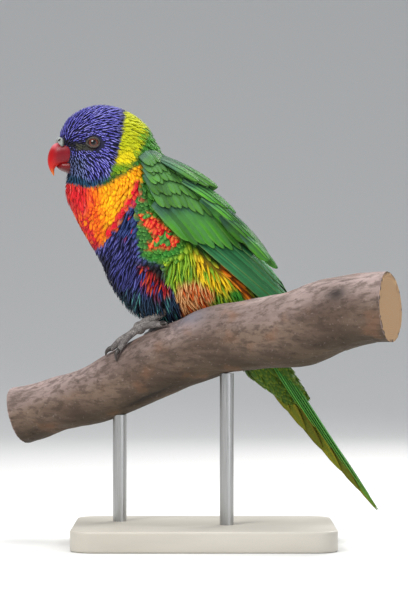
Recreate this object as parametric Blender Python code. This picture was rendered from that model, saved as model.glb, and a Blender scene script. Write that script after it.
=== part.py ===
"""A life-size perched rainbow lorikeet on a cut length of branch, held by a plain stand.

Lengths are in millimetres until a mesh is made. The bird faces -X, turned a little, and its left
side is towards -Y. Its own frame is (a, y, z): a runs back along the midplane, y to its right.
"""

import math

import bmesh
import bpy
import numpy as np

MM = 0.001
GAP = 0.3

# The bird's turn about the vertical and where its midplane stands.
YAW = math.radians(10.0)
PIVOT_X = -31.9
PIVOT_Y = 15.0
# Places given as seen from the left are for a viewer this far off, at this height, on this plane.
VIEW_FAR = 1480.0
VIEW_HEIGHT = 137.2
VIEW_PLANE = 12.0

# Body stations: back point (a, z), belly point (a, z), half width.
BODY = [
    (-83.5, 234.6, -76.6, 212.0, 6.8),
    (-81.5, 240.6, -77.4, 209.7, 7.6),
    (-77.1, 246.8, -78.3, 207.6, 9.4),
    (-70.2, 251.2, -78.9, 205.9, 12.2),
    (-62.1, 253.5, -79.2, 204.1, 14.6),
    (-53.4, 253.2, -79.5, 202.4, 16.4),
    (-45.2, 250.5, -79.5, 200.4, 17.6),
    (-37.7, 246.2, -79.2, 197.8, 18.4),
    (-31.9, 240.7, -78.3, 194.6, 19.2),
    (-27.3, 232.3, -76.8, 190.5, 20.4),
    (-22.0, 223.0, -74.2, 185.0, 21.6),
    (-15.6, 212.5, -71.3, 179.5, 22.6),
    (-7.0, 203.8, -66.1, 170.8, 23.4),
    (1.6, 195.5, -59.7, 159.8, 24.0),
    (10.6, 185.9, -52.2, 146.4, 24.2),
    (19.4, 176.2, -42.3, 135.4, 23.8),
    (28.4, 166.7, -28.4, 130.2, 22.8),
    (33.1, 155.7, -11.6, 129.0, 21.0),
    (36.0, 145.9, 2.3, 127.9, 18.6),
    (36.5, 136.6, 12.2, 124.4, 16.0),
    (35.4, 127.9, 18.6, 118.6, 13.5),
]
HEAD_END = 8
NECK_END = 10
BODY_SIDES = 24

# The surface that the folded wings lie on, past the body out to the wing tips.
WING_BED = [
    (-31.8, 240.2, -78.3, 194.6, 20.4),
    (-27.4, 231.8, -76.8, 190.5, 21.7),
    (-22.5, 222.5, -74.2, 185.0, 22.9),
    (-14.8, 213.0, -71.3, 179.5, 23.9),
    (-5.6, 205.0, -66.1, 170.8, 24.6),
    (3.2, 197.0, -59.7, 159.8, 25.0),
    (12.2, 187.5, -52.2, 146.4, 25.2),
    (22.4, 178.1, -42.3, 135.4, 24.8),
    (31.1, 168.8, -26.7, 130.2, 23.6),
    (36.3, 163.0, -12.2, 127.9, 21.8),
    (40.3, 157.8, -0.6, 126.7, 19.6),
    (47.9, 143.3, 17.4, 129.0, 15.6),
    (55.6, 132.2, 35.4, 122.1, 11.6),
    (62.8, 122.4, 49.3, 115.7, 8.6),
    (70.8, 113.0, 63.0, 109.0, 6.4),
]
WING_APART = 0.9
BACK_SHARE = 0.6

# Wing core: lower edge and back edge in pairs, as seen from the side (x, z).
WING_EDGES = [
    (-35.0, 217.2, -26.0, 220.3),
    (-34.2, 210.2, -15.1, 217.2),
    (-32.5, 198.6, -3.5, 209.7),
    (-27.8, 188.2, 8.1, 199.8),
    (-18.6, 178.9, 18.6, 188.2),
    (-4.6, 167.9, 29.0, 175.4),
    (9.3, 158.0, 38.3, 163.8),
    (23.2, 147.6, 45.2, 152.2),
    (37.1, 137.2, 51.6, 141.8),
    (49.9, 127.3, 58.0, 131.4),
    (60.3, 118.6, 64.4, 120.9),
]
CORE_TOP = [2.0, 4.4, 4.4, 3.6, 2.8, 2.2, 1.8, 1.6, 1.5, 1.4, 1.3]
CORE_UNDER = 0.5
CORE_LAST = 7

# Wing feathers in tiers: count, then first, middle and last root and tip as seen from the side (x, z),
# half width, height over the bed at root and tip, tilt of the lower edge, sideways bow.
WING_TIERS = [
    (5, [(-4.6, 175.4), (1.2, 180.1), (10.4, 185.9)], [(62.6, 115.7), (60.3, 127.9), (52.2, 141.2)], 2.9, (1.6, 1.3), 0.8, 1.2),
    (7, [(-30.2, 195.2), (-16.2, 199.8), (8.1, 194.0)], [(-8.7, 173.7), (10.4, 169.6), (34.2, 165.6)], 4.2, (1.8, 3.4), 0.8, 0.8),
    (6, [(-31.3, 203.3), (-19.7, 206.8), (0.6, 201.0)], [(-23.8, 190.5), (-10.4, 191.1), (13.9, 182.4)], 4.0, (2.4, 4.5), 0.7, 0.4),
    (6, [(-32.5, 209.1), (-22.0, 211.4), (-4.6, 206.2)], [(-26.1, 198.6), (-15.1, 199.2), (4.1, 193.4)], 3.6, (3.0, 5.5), 0.6, 0.3),
    (5, [(-33.1, 214.9), (-25.5, 217.2), (-11.6, 212.6)], [(-27.8, 206.2), (-18.6, 206.8), (-3.5, 202.1)], 3.6, (3.4, 6.3), 0.6, 0.3),
]
VANE_THICK = 0.6
WING_VANE_ROWS = [(0.0, 0.55), (0.45, 1.0), (0.85, 0.8), (1.0, 0.25)]

# Tail: ridge from root to tip in the bird's midplane, roof-shaped across and turned about its length.
TAIL_ROOT = (37.0, 118.5)
TAIL_TIP = (103.2, 17.0)
TAIL_SLOPE = math.radians(42.0)
TAIL_TWIST = math.radians(26.0)
# Tail feathers of one side, from the central one out: length, inner edge, outer edge and tip across.
TAIL_FEATHERS = [
    (121.5, 0.5, 6.6, 1.0),
    (106.0, 1.3, 8.4, 3.2),
    (90.0, 2.3, 10.0, 5.8),
    (74.0, 3.6, 11.5, 8.0),
    (58.0, 5.2, 13.0, 10.0),
    (44.0, 7.2, 14.3, 11.8),
]
TAIL_LAYER = 0.95
TAIL_VANE_ROWS = [(0.0, 0.5), (0.25, 0.9), (0.5, 1.0), (0.75, 0.85), (0.93, 0.5), (1.0, 0.14)]
TAIL_COVERTS = [
    (43.5, 115.5, 19.5, 106.0, 12.0),
    (50.0, 103.5, 24.5, 97.5, 9.6),
    (56.5, 92.5, 35.5, 89.5, 7.0),
    (62.0, 83.0, 47.5, 80.0, 4.4),
]

# Bill stations: ridge point, edge point, half width. The first lies on the face.
FACE_TOP = (-83.5, 234.6)
FACE_LOW = (-76.6, 212.0)
UPPER_BILL = [
    (-82.6, 232.4, -77.3, 220.5, 7.5),
    (-87.0, 230.7, -81.2, 219.9, 6.6),
    (-89.7, 226.6, -83.9, 219.1, 5.4),
    (-90.6, 221.8, -85.8, 217.9, 4.0),
    (-89.9, 217.5, -86.6, 215.9, 2.6),
    (-88.3, 214.3, -86.5, 213.8, 1.4),
]
BILL_TIP = (-86.6, 212.2)
LOWER_BILL = [
    (-77.3, 220.1, -77.6, 213.7, 6.9),
    (-81.2, 219.5, -80.9, 214.8, 5.9),
    (-83.9, 218.7, -83.6, 216.0, 4.4),
]
LOWER_TIP = (-85.7, 217.3)
BILL_ROOT = 2.2

EYE_AT = (-63.9, 231.9)
EYE_RADIUS = 4.3
EYE_OPENING = 3.2

# Branch axis points (x, y, z) and radius.
BRANCH = [
    (-116.5, 44.2, 69.7, 17.6),
    (-94.4, 35.3, 76.6, 16.4),
    (-61.2, 21.8, 86.8, 17.8),
    (-31.5, 9.8, 101.0, 19.2),
    (-7.5, 0.2, 111.6, 19.7),
    (16.1, -9.4, 119.3, 20.1),
    (50.8, -23.4, 124.0, 22.0),
    (80.9, -35.6, 134.3, 21.1),
    (110.0, -47.3, 136.9, 20.6),
]
BRANCH_ENDS = (-108.0, 104.0)
BRANCH_SIDES = 24
KNOT_AT = (2.0, 35.0)

# Feet: where each stands on the branch (x, angle from its crest towards the viewer) and its shank's top.
FEET = {
    "left": (-27.5, 10.0, (-19.0, -10.5, 139.0)),
    "right": (-31.0, -38.0, (-15.0, 9.5, 140.0)),
}
TOES = [(-15.5, 16.0, 2.35), (-10.5, 34.0, 2.2), (13.5, 18.0, 2.2), (8.5, -14.0, 2.0)]
CLAW_LENGTH = 6.5
SHANK_RADIUS = 2.9

BASE_SIZE = (150.0, 110.0, 12.0)
ROD_RADIUS = 4.0
ROD_AT = [(-49.0, 17.0), (13.0, -8.2)]

COLOURS = {
    "navy_plumage": (0.03, 0.03, 0.2, 1.0),
    "green_plumage": (0.1, 0.4, 0.06, 1.0),
    "breast_plumage": (0.8, 0.2, 0.03, 1.0),
    "collar_plumage": (0.5, 0.6, 0.02, 1.0),
    "olive_plumage": (0.2, 0.25, 0.02, 1.0),
    "red_horn": (0.4, 0.0, 0.02, 1.0),
    "grey_skin": (0.2, 0.19, 0.18, 1.0),
    "dark_horn": (0.03, 0.03, 0.03, 1.0),
    "eye_glass": (0.08, 0.02, 0.02, 1.0),
    "branch_wood": (0.12, 0.09, 0.07, 1.0),
    "stand_base_paint": (0.5, 0.48, 0.44, 1.0),
    "stand_rod_steel": (0.4, 0.4, 0.4, 1.0),
}


def clear_scene():
    for obj in list(bpy.data.objects):
        bpy.data.objects.remove(obj, do_unlink=True)


def material(name):
    found = bpy.data.materials.get(name)
    if found:
        return found
    made = bpy.data.materials.new(name)
    made.use_nodes = True
    made.node_tree.nodes["Principled BSDF"].inputs["Base Color"].default_value = COLOURS[name]
    return made


def add_mesh(name, points, faces, slot=None):
    mesh = bpy.data.meshes.new(name)
    mesh.from_pydata([[float(c) * MM for c in point] for point in points], [], faces)
    bm = bmesh.new()
    bm.from_mesh(mesh)
    bmesh.ops.recalc_face_normals(bm, faces=bm.faces)
    bm.to_mesh(mesh)
    bm.free()
    obj = bpy.data.objects.new(name, mesh)
    bpy.context.scene.collection.objects.link(obj)
    if slot:
        mesh.materials.append(material(slot))
    return obj


def loft(name, rings, slot=None):
    """A closed body through rings of points, where a ring may be one point."""
    points = []
    starts = []
    faces = []
    for ring in rings:
        starts.append(len(points))
        points.extend(ring)
    for i in range(len(rings) - 1):
        n, m = len(rings[i]), len(rings[i + 1])
        a, b = starts[i], starts[i + 1]
        for j in range(max(n, m)):
            k = (j + 1) % max(n, m)
            if n == 1:
                faces.append((a, b + j, b + k))
            elif m == 1:
                faces.append((a + j, b, a + k))
            else:
                faces.append((a + j, b + j, b + k, a + k))
    for i in (0, len(rings) - 1):
        if len(rings[i]) > 1:
            faces.append(tuple(range(starts[i], starts[i] + len(rings[i]))))
    return add_mesh(name, points, faces, slot)


def keep_largest(obj):
    """Drops every closed surface of the mesh but the one with the most faces."""
    bm = bmesh.new()
    bm.from_mesh(obj.data)
    bm.faces.ensure_lookup_table()
    seen = set()
    groups = []
    for face in bm.faces:
        if face.index in seen:
            continue
        group = [face]
        seen.add(face.index)
        for member in group:
            for edge in member.edges:
                for other in edge.link_faces:
                    if other.index not in seen:
                        seen.add(other.index)
                        group.append(other)
        groups.append(group)
    groups.sort(key=len)
    for group in groups[:-1]:
        bmesh.ops.delete(bm, geom=group, context="FACES")
    bm.to_mesh(obj.data)
    bm.free()


def boolean(obj, others, operation, solver="EXACT"):
    """One Boolean of the object with a collection of closed meshes, applied, and the helpers removed."""
    if not others:
        return obj
    group = bpy.data.collections.new("helpers")
    bpy.context.scene.collection.children.link(group)
    for other in others:
        group.objects.link(other)
        bpy.context.scene.collection.objects.unlink(other)
    modifier = obj.modifiers.new("join", "BOOLEAN")
    modifier.operation = operation
    modifier.operand_type = "COLLECTION"
    modifier.collection = group
    modifier.solver = solver
    graph = bpy.context.evaluated_depsgraph_get()
    mesh = bpy.data.meshes.new_from_object(obj.evaluated_get(graph))
    slots = list(obj.data.materials)
    obj.modifiers.clear()
    obj.data = mesh
    mesh.materials.clear()
    for slot in slots:
        mesh.materials.append(slot)
    for polygon in mesh.polygons:
        polygon.material_index = 0
    for other in others:
        bpy.data.objects.remove(other, do_unlink=True)
    bpy.data.collections.remove(group)
    keep_largest(obj)
    return obj


def join(obj, others):
    return boolean(obj, others, "UNION")


def cut(obj, others):
    return boolean(obj, others, "DIFFERENCE")


def eased(rows, t):
    """Catmull-Rom through rows of numbers at parameter t in whole steps."""
    rows = np.asarray(rows, float)
    t = min(max(t, 0.0), len(rows) - 1.0)
    i = min(int(t), len(rows) - 2)
    f = t - i
    p1, p2 = rows[i], rows[i + 1]
    p0 = rows[i - 1] if i > 0 else 2 * p1 - p2
    p3 = rows[i + 2] if i + 2 < len(rows) else 2 * p2 - p1
    return p1 + 0.5 * f * (p2 - p0 + f * (2 * p0 - 5 * p1 + 4 * p2 - p3 + f * (3 * (p1 - p2) + p3 - p0)))


def world(a, y, z):
    return np.array([
        a - y * math.sin(YAW),
        PIVOT_Y + (a - PIVOT_X) * math.tan(YAW) + y * math.cos(YAW),
        z,
    ])


def seen(x, z, a, y):
    """Where what is seen at (x, z) is, as (x, z) at the depth of the left side's point at a, y."""
    depth = PIVOT_Y + (a - PIVOT_X) * math.tan(YAW) - abs(y) * math.cos(YAW)
    near = 1.0 + (depth - VIEW_PLANE) / VIEW_FAR
    return x * near, VIEW_HEIGHT + (z - VIEW_HEIGHT) * near


class Bed:
    """A surface lofted through stations, with points found on it from where they show from the side."""

    def __init__(self, stations, share=1.0, square_until=0.0):
        self.stations = stations
        self.share = share
        self.square_until = square_until
        self.steps = np.linspace(0, len(stations) - 1, 20 * len(stations))
        self.rows = np.array([eased(stations, t) for t in self.steps])

    def at(self, t, angle, off=0.0, shift=0.0):
        """(a, y, z) at station t, angle from the back (positive on the right), raised by off."""
        da, dz, va, vz, half = eased(self.stations, t)
        centre = np.array([(da + va) / 2, (dz + vz) / 2])
        axis = np.array([da - va, dz - vz]) / 2
        height = float(np.hypot(*axis))
        axis = axis / height
        normal = np.array([axis[1], -axis[0]])
        here = centre + axis * (height + off * self.share) * math.cos(angle) + normal * shift
        squared = min(max(self.square_until - t, 0.0) / 3.0, 1.0)
        wide = math.copysign(abs(math.sin(angle)) ** (1.0 - 0.22 * squared), math.sin(angle))
        return here[0], (half + off) * wide, here[1]

    def locate(self, a, z):
        """Station and angle of the midplane point (a, z), on the left."""
        da, dz, va, vz = self.rows[:, 0], self.rows[:, 1], self.rows[:, 2], self.rows[:, 3]
        side = (da - va) * (z - vz) - (dz - vz) * (a - va)
        share = ((a - va) * (da - va) + (z - vz) * (dz - vz)) / ((da - va) ** 2 + (dz - vz) ** 2)
        crossing = np.nonzero((side[:-1] > 0) != (side[1:] > 0))[0]
        if len(crossing):
            i = crossing[np.argmin(np.abs(share[crossing] - 0.5))]
            f = side[i] / (side[i] - side[i + 1])
        else:
            i = 0 if abs(side[0]) < abs(side[-1]) else len(side) - 2
            f = 0.0 if i == 0 else 1.0
        t = self.steps[i] + f * (self.steps[i + 1] - self.steps[i])
        c = share[i] + f * (share[i + 1] - share[i])
        return t, math.acos(min(max(2 * c - 1, -1.0), 1.0))

    def lift(self, x, z, off, side=-1, apart=0.0):
        """World point above where (x, z) shows from the left; side 1 gives the mirrored point."""
        a, y = x, 0.0
        for _ in range(6):
            here_x, here_z = seen(x, z, a, y)
            t, angle = self.locate(here_x - abs(y) * math.sin(YAW), here_z)
            a, y, height = self.at(t, max(angle, 0.05), off)
        return world(a, side * max(abs(y), apart), height)

    def ring(self, t, off=0.0, shift=0.0, sides=BODY_SIDES):
        return [world(*self.at(t, 2 * math.pi * (j + 0.5) / sides, off, shift)) for j in range(sides)]


body_bed = Bed(BODY, square_until=HEAD_END + 2)
wing_bed = Bed(WING_BED, BACK_SHARE)


def body_part(name, first, last, step, slot, off=0.0):
    count = max(1, round((last - first) / step))
    rings = []
    for i in range(count + 1):
        shift = GAP / 2 if i == 0 and first > 0 else -GAP / 2 if i == count else 0.0
        rings.append(body_bed.ring(first + (last - first) * i / count, off, shift))
    return loft(name, rings, slot)


def ball(name, centre, radius, slot=None, segments=16, rings=10):
    axis = [np.array([0, 0, 1.0]), np.array([1.0, 0, 0]), np.array([0, 1.0, 0])]
    return round_form(name, centre, (radius, radius, radius), axis, slot, segments, rings)


def round_form(name, centre, radii, axes, slot=None, segments=16, rings=10):
    centre = np.asarray(centre, float)
    bands = [[centre + axes[0] * radii[0]]]
    for i in range(1, rings):
        polar = math.pi * i / rings
        bands.append([
            centre
            + axes[0] * radii[0] * math.cos(polar)
            + axes[1] * radii[1] * math.sin(polar) * math.cos(2 * math.pi * j / segments)
            + axes[2] * radii[2] * math.sin(polar) * math.sin(2 * math.pi * j / segments)
            for j in range(segments)
        ])
    bands.append([centre - axes[0] * radii[0]])
    return loft(name, bands, slot)


def unit(vector):
    return np.asarray(vector, float) / np.linalg.norm(vector)


def tube(name, path, radii, slot=None, sides=10, round_start=False, round_end=False):
    """A round tube along world points, each end flat or drawn in to a dome."""
    path = [np.asarray(p, float) for p in path]
    radii = list(radii)
    for at_end in (False, True):
        if not (round_end if at_end else round_start):
            continue
        index = -1 if at_end else 0
        other = -2 if at_end else 1
        out = unit(path[index] - path[other])
        radius = radii[index]
        more = [(path[index] + out * radius * math.sin(k), radius * math.cos(k)) for k in (0.6, 1.1)]
        for place, size in more:
            if at_end:
                path.append(place)
                radii.append(size)
            else:
                path.insert(0, place)
                radii.insert(0, size)
    across = unit(np.cross(path[1] - path[0], (0.13, 0.99, 0.07)))
    rings = []
    for i, (place, radius) in enumerate(zip(path, radii)):
        along = unit(path[min(i + 1, len(path) - 1)] - path[max(i - 1, 0)])
        across = unit(across - along * np.dot(across, along))
        other = np.cross(along, across)
        rings.append([
            place + radius * (across * math.cos(2 * math.pi * j / sides) + other * math.sin(2 * math.pi * j / sides))
            for j in range(sides)
        ])
    return loft(name, rings, slot)


def branch_axis(x):
    """Axis point and radius of the branch at x."""
    xs = [row[0] for row in BRANCH]
    i = min(max(int(np.searchsorted(xs, x)) - 1, 0), len(xs) - 2)
    t = i + (x - xs[i]) / (xs[i + 1] - xs[i])
    row = eased(BRANCH, t)
    return row[:3], row[3]


def branch_frame(x):
    before, _ = branch_axis(x - 1.0)
    after, _ = branch_axis(x + 1.0)
    along = unit(after - before)
    near = unit(np.cross(along, (0, 0, 1.0)))
    return along, near, np.cross(near, along)


def branch_relief(x, angle):
    """Bark swellings, a knot and a long shallow crack; level where the feet stand."""
    calm = 1 - math.exp(-(((x + 30) / 22) ** 2))
    swell = 0.55 * math.sin(0.11 * x + 2.0 * angle + 0.4) + 0.4 * math.sin(0.21 * x - 3.0 * angle)
    knot = 2.0 * math.exp(-(((x - KNOT_AT[0]) / 7) ** 2) - ((math.degrees(angle) - KNOT_AT[1]) / 18) ** 2)
    crack = -0.9 * math.exp(-(((x + 36) / 16) ** 2) - ((math.degrees(angle) - 150) / 9) ** 2)
    return calm * (swell + knot) + crack


def branch_point(x, angle, off=0.0):
    """Point at off above the branch, angle in radians from its crest towards -Y."""
    centre, radius = branch_axis(x)
    _, near, up = branch_frame(x)
    out = up * math.cos(angle) + near * math.sin(angle)
    return centre + out * (radius + branch_relief(x, angle) + off)


def branch_form(name, off, slot=None):
    first, last = BRANCH_ENDS
    count = 22
    rings = []
    for i in range(count + 1):
        x = first + (last - first) * i / count
        rings.append([branch_point(x, 2 * math.pi * j / BRANCH_SIDES, off) for j in range(BRANCH_SIDES)])
    return loft(name, rings, slot)


def toe_path(side, toe):
    """Centre line and radii of a toe lying on the branch, then of the claw that goes on from it."""
    x0, degrees, _ = FEET[side]
    reach, turn, radius = TOES[toe]
    angle0 = math.radians(degrees)
    turn = math.radians(turn) * (1.0 if side == "left" else -1.0)
    length = math.hypot(reach, turn * (branch_axis(x0)[1] + radius))

    def place(f):
        claw = max(f - 1.0, 0.0) * length / CLAW_LENGTH
        size = radius * (1.0 - 0.22 * f + 0.07 * math.cos(3 * math.pi * f)) if f <= 1 else radius * 0.62 * (1 - claw) + 0.28
        arch = 1.7 * max(1 - f, 0.0) ** 2 + 0.5 * math.sin(math.pi * min(f, 1.0)) + 0.9 * math.sin(math.pi * min(claw, 1.0))
        rest = radius * 0.82 * (1 - claw) + 0.28 * claw if f > 1 else size
        x = x0 + reach * (f - 0.35 * claw * max(f - 1.0, 0.0))
        return branch_point(x, angle0 + turn * f ** 1.2, GAP + 0.15 + rest + arch), size

    toe_line = [place(i / 5) for i in range(6)]
    start = 1.0 + (2 * GAP) / length
    steps = [start, start + 0.4 / length] + [start + CLAW_LENGTH / length * i / 5 for i in range(1, 6)]
    claw_line = [place(f) for f in steps]
    return toe_line, claw_line


def foot_heel(side):
    x0, degrees, _ = FEET[side]
    return branch_point(x0 + 0.5, math.radians(degrees), GAP + 4.6)


def shank(name, side, grow=0.0, slot=None):
    top = world(*FEET[side][2])
    heel = foot_heel(side)
    middle = (top + heel) / 2 + np.array([1.2, 0, 0])
    top = top + unit(top - heel) * grow
    radii = [SHANK_RADIUS + grow] * 2 + [SHANK_RADIUS + 0.5 + grow]
    return tube(name, [heel, middle, top], radii, slot, 12, round_start=True)


def make_legs():
    for side in FEET:
        leg = shank("leg_" + side, side, slot="grey_skin")
        pieces = []
        for toe in range(4):
            toe_line, claw_line = toe_path(side, toe)
            pieces.append(tube("toe", *zip(*toe_line), sides=10, round_start=True))
            tube(f"claw_{side}_{toe + 1}", *zip(*claw_line), "dark_horn", 8)
        pieces.append(ball("pad", branch_point(FEET[side][0], math.radians(FEET[side][1]), GAP + 4.2), 3.6, segments=12, rings=8))
        join(leg, pieces)


def bill_ring(row, sides, grow=0.0, boxy=0, back=0.0):
    """A section of the bill, squared off on its upper side (boxy 1) or under side (boxy -1)."""
    da, dz, va, vz, half = row
    centre = np.array([(da + va) / 2, (dz + vz) / 2])
    axis = np.array([da - va, dz - vz]) / 2
    height = np.linalg.norm(axis)
    axis = axis / height
    centre = centre + np.array([axis[1], -axis[0]]) * back
    ring = []
    for j in range(sides):
        angle = 2 * math.pi * (j + 0.5) / sides
        up, wide = math.cos(angle), math.sin(angle)
        if up * boxy > 0:
            wide = math.copysign(abs(wide) ** 0.5, wide)
        here = centre + axis * (height + grow) * up
        ring.append(world(here[0], (half + grow) * wide, here[1]))
    return ring


def upper_bill_form(name, grow=0.0, slot=None):
    rows = UPPER_BILL + [(*BILL_TIP, *BILL_TIP, 0.0)]
    rings = [bill_ring(rows[0], 16, grow, -1, BILL_ROOT + grow)]
    for i in range(2 * len(UPPER_BILL) - 1):
        rings.append(bill_ring(eased(rows, i / 2), 16, grow, -1))
    rings.append([world(BILL_TIP[0] - grow, 0.0, BILL_TIP[1] - grow)])
    return loft(name, rings, slot)


def lower_bill_form(name, grow=0.0, slot=None):
    rings = [bill_ring(LOWER_BILL[0], 16, grow, 1, BILL_ROOT - 0.7 + grow)]
    for row in LOWER_BILL:
        rings.append(bill_ring(row, 16, grow, 1))
    rings.append([world(LOWER_TIP[0] - grow, 0.0, LOWER_TIP[1])])
    return loft(name, rings, slot)


def eye_frame(side):
    """Place on the head's skin and the outward direction at the eye."""
    here = body_bed.lift(*EYE_AT, 0.0, side)
    here_x, here_z = seen(*EYE_AT, EYE_AT[0], 14.5)
    t, angle = body_bed.locate(here_x - 14.5 * math.sin(YAW), here_z)
    angle = angle * (1 if side > 0 else -1)
    a, y, z = body_bed.at(t, angle)
    da = np.subtract(world(*body_bed.at(t + 0.4, angle)), world(*body_bed.at(t - 0.4, angle)))
    db = np.subtract(world(*body_bed.at(t, angle + 0.1)), world(*body_bed.at(t, angle - 0.1)))
    out = unit(np.cross(da, db))
    lateral = np.array([-math.sin(YAW), math.cos(YAW), 0.0]) * side
    if np.dot(out, lateral) < 0:
        out = -out
    return here, unit(out + 1.2 * lateral)


def make_head():
    head = body_part("head", 0, HEAD_END, 0.5, "navy_plumage")
    adds, cuts = [], []
    for side in (-1, 1):
        here, out = eye_frame(side)
        centre = here - out * (EYE_RADIUS - 1.0)
        ball(f"eye_{'left' if side < 0 else 'right'}", centre, EYE_RADIUS, "eye_glass", 18, 12)
        cuts.append(ball("socket", centre, EYE_RADIUS + GAP, segments=18, rings=12))
        rim = centre + out * math.sqrt((EYE_RADIUS + 0.55) ** 2 - (EYE_OPENING + 0.75) ** 2)
        first = unit(np.cross(out, (0, 0, 1.0)))
        second = np.cross(out, first)
        lid = []
        for j in range(18):
            turn = 2 * math.pi * j / 18
            round_at = first * math.cos(turn) * 1.08 + second * math.sin(turn)
            lid.append(rim + round_at * (EYE_OPENING + 0.65))
        adds.append(hoop("lid", lid, 0.85, out, 8))
    cere = []
    for j in range(11):
        angle = math.radians(-100 + 200 * j / 10)
        top_at = np.array(FACE_TOP) + (np.array(FACE_LOW) - FACE_TOP) * 0.27
        out = unit((FACE_LOW[1] - FACE_TOP[1], FACE_TOP[0] - FACE_LOW[0]))
        axis = unit(np.array(FACE_TOP) - FACE_LOW)
        here = top_at + axis * 5.6 * math.cos(angle) + out * 0.45
        cere.append(world(here[0], 6.7 * math.sin(angle), here[1]))
    radii = [1.6 + 0.9 * math.exp(-(((abs(j - 5) - 2.4) / 1.5) ** 2)) for j in range(11)]
    adds.append(tube("cere", cere, radii, sides=10, round_start=True, round_end=True))
    join(head, adds)
    for side in (-1, 1):
        j = 5 + side * 2.4
        at = np.array(cere[int(j)]) + (np.array(cere[int(j) + 1]) - cere[int(j)]) * (j - int(j))
        middle = np.array(cere[5])
        out = unit(at - np.array(world(-76.0, 0, 226.0)))
        cuts.append(tube("nostril", [at + out * 0.6, at + out * 6], [0.75, 1.1], sides=8))
    cuts.append(upper_bill_form("upper_room", GAP))
    cuts.append(lower_bill_form("lower_room", GAP))
    cut(head, cuts)


def hoop(name, ring, radius, axis, sides):
    """A closed round ring through points about an axis."""
    centre = np.mean(ring, axis=0)
    points, faces = [], []
    n = len(ring)
    for place in ring:
        out = unit(np.asarray(place) - centre)
        for k in range(sides):
            turn = 2 * math.pi * k / sides
            points.append(place + radius * (out * math.cos(turn) + axis * math.sin(turn)))
    for i in range(n):
        for k in range(sides):
            i2, k2 = (i + 1) % n, (k + 1) % sides
            faces.append((i * sides + k, i2 * sides + k, i2 * sides + k2, i * sides + k2))
    return add_mesh(name, points, faces)


def body_room():
    """The torso grown by a little more than the gap, and carried on into the neck."""
    rings = [body_bed.ring(NECK_END - 1.0 + 0.5 * i, GAP + 0.15) for i in range(23)]
    return loft("room", rings)


def vane(name, upper, under):
    """A thin solid between two like grids of points, rows along the feather, split alike on both faces."""
    rows, across = len(upper), len(upper[0])
    points = [p for row in upper for p in row] + [p for row in under for p in row]
    half = rows * across
    faces = []
    for r in range(rows - 1):
        for c in range(across - 1):
            a = r * across + c
            for face in ((a, a + 1, a + across + 1), (a, a + across + 1, a + across)):
                faces.append(face)
                faces.append(tuple(half + k for k in reversed(face)))
    rim = [c for c in range(across)]
    rim += [r * across + across - 1 for r in range(1, rows)]
    rim += [(rows - 1) * across + c for c in range(across - 2, -1, -1)]
    rim += [r * across for r in range(rows - 2, 0, -1)]
    for a, b in zip(rim, rim[1:] + rim[:1]):
        faces.append((a, half + a, half + b))
        faces.append((a, half + b, b))
    return add_mesh(name, points, faces)


def between(three, f):
    """A point on the curve through three points, at share f."""
    p, q, r = (np.array(point, float) for point in three)
    return p * (1 - f) * (1 - 2 * f) + q * 4 * f * (1 - f) + r * f * (2 * f - 1)


def wing_place(x, z, side):
    """The bed's world point where (x, z) shows from the left, its outward normal and how far lifts count there."""
    a, y = x, 0.0
    for _ in range(6):
        here_x, here_z = seen(x, z, a, y)
        t, angle = wing_bed.locate(here_x - abs(y) * math.sin(YAW), here_z)
        angle = max(angle, 0.12)
        a, y, _ = wing_bed.at(t, angle)
    angle *= side
    here = world(*wing_bed.at(t, angle))
    ahead = world(*wing_bed.at(t + 0.05, angle)) - world(*wing_bed.at(t - 0.05, angle))
    around = world(*wing_bed.at(t, angle + 0.02)) - world(*wing_bed.at(t, angle - 0.02))
    out = unit(np.cross(ahead, around))
    if side * lateral(here + out) < side * lateral(here):
        out = -out
    return here, out, BACK_SHARE + (1 - BACK_SHARE) * math.sin(angle) ** 2


def lateral(point):
    """How far a world point is to the right of the bird's midplane."""
    x, y = float(point[0]) - PIVOT_X, float(point[1]) - PIVOT_Y
    return y * math.cos(YAW) - x * math.sin(YAW)


def wing_vane(tier, i, side):
    count, roots, tips, half, (low, high), tilt, bow = tier
    f = i / (count - 1)
    root, tip = between(roots, f), between(tips, f)
    down = unit((tip[1] - root[1], root[0] - tip[0]))
    quill = []
    for u, _ in WING_VANE_ROWS:
        x, z = root + (tip - root) * u - down * bow * math.sin(math.pi * u)
        quill.append(wing_place(x, z, side))
    right = np.array([-math.sin(YAW), math.cos(YAW), 0.0]) * side
    upper, under = [], []
    for r, (u, share) in enumerate(WING_VANE_ROWS):
        here, out, part = quill[r]
        along = unit(quill[min(r + 1, len(quill) - 1)][0] - quill[max(r - 1, 0)][0])
        across = unit(np.cross(out, along))
        if np.dot(across, right - (0, 0, 1.0)) < 0:
            across = -across
        base = here + out * (low + (high - low) * u) * part
        bottoms = []
        for v in (1, 0, -1):
            rise = tilt * v * (0.2 + 0.8 * u) + 0.3 * (1 - v * v)
            bottoms.append(base + across * v * half * share + out * rise)
        tops = [p + out * VANE_THICK for p in bottoms]
        close = WING_APART - min(side * lateral(p) for p in tops + bottoms)
        shift = right * max(close, 0.0)
        upper.append([p + shift for p in tops])
        under.append([p + shift for p in bottoms])
    return vane("vane", upper, under)


def wing_core(name, side, slot=None):
    """The wing under its feathers: a thick pad at the shoulder that thins towards the quills."""
    rings = []
    across = 7
    for u in range(CORE_LAST + 1):
        lx, lz, bx, bz = WING_EDGES[u]
        upper, under = [], []
        for k in range(across):
            v = k / (across - 1)
            x, z = lx + (bx - lx) * v, lz + (bz - lz) * v
            low = CORE_UNDER + 0.9
            high = low + (CORE_TOP[u] - low) * math.sin(math.pi * v) ** 0.6
            upper.append(wing_bed.lift(x, z, max(high, low), side, WING_APART))
            under.append(wing_bed.lift(x, z, CORE_UNDER, side, WING_APART))
        rings.append(upper + under[::-1])
    return loft(name, rings, slot)


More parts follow.
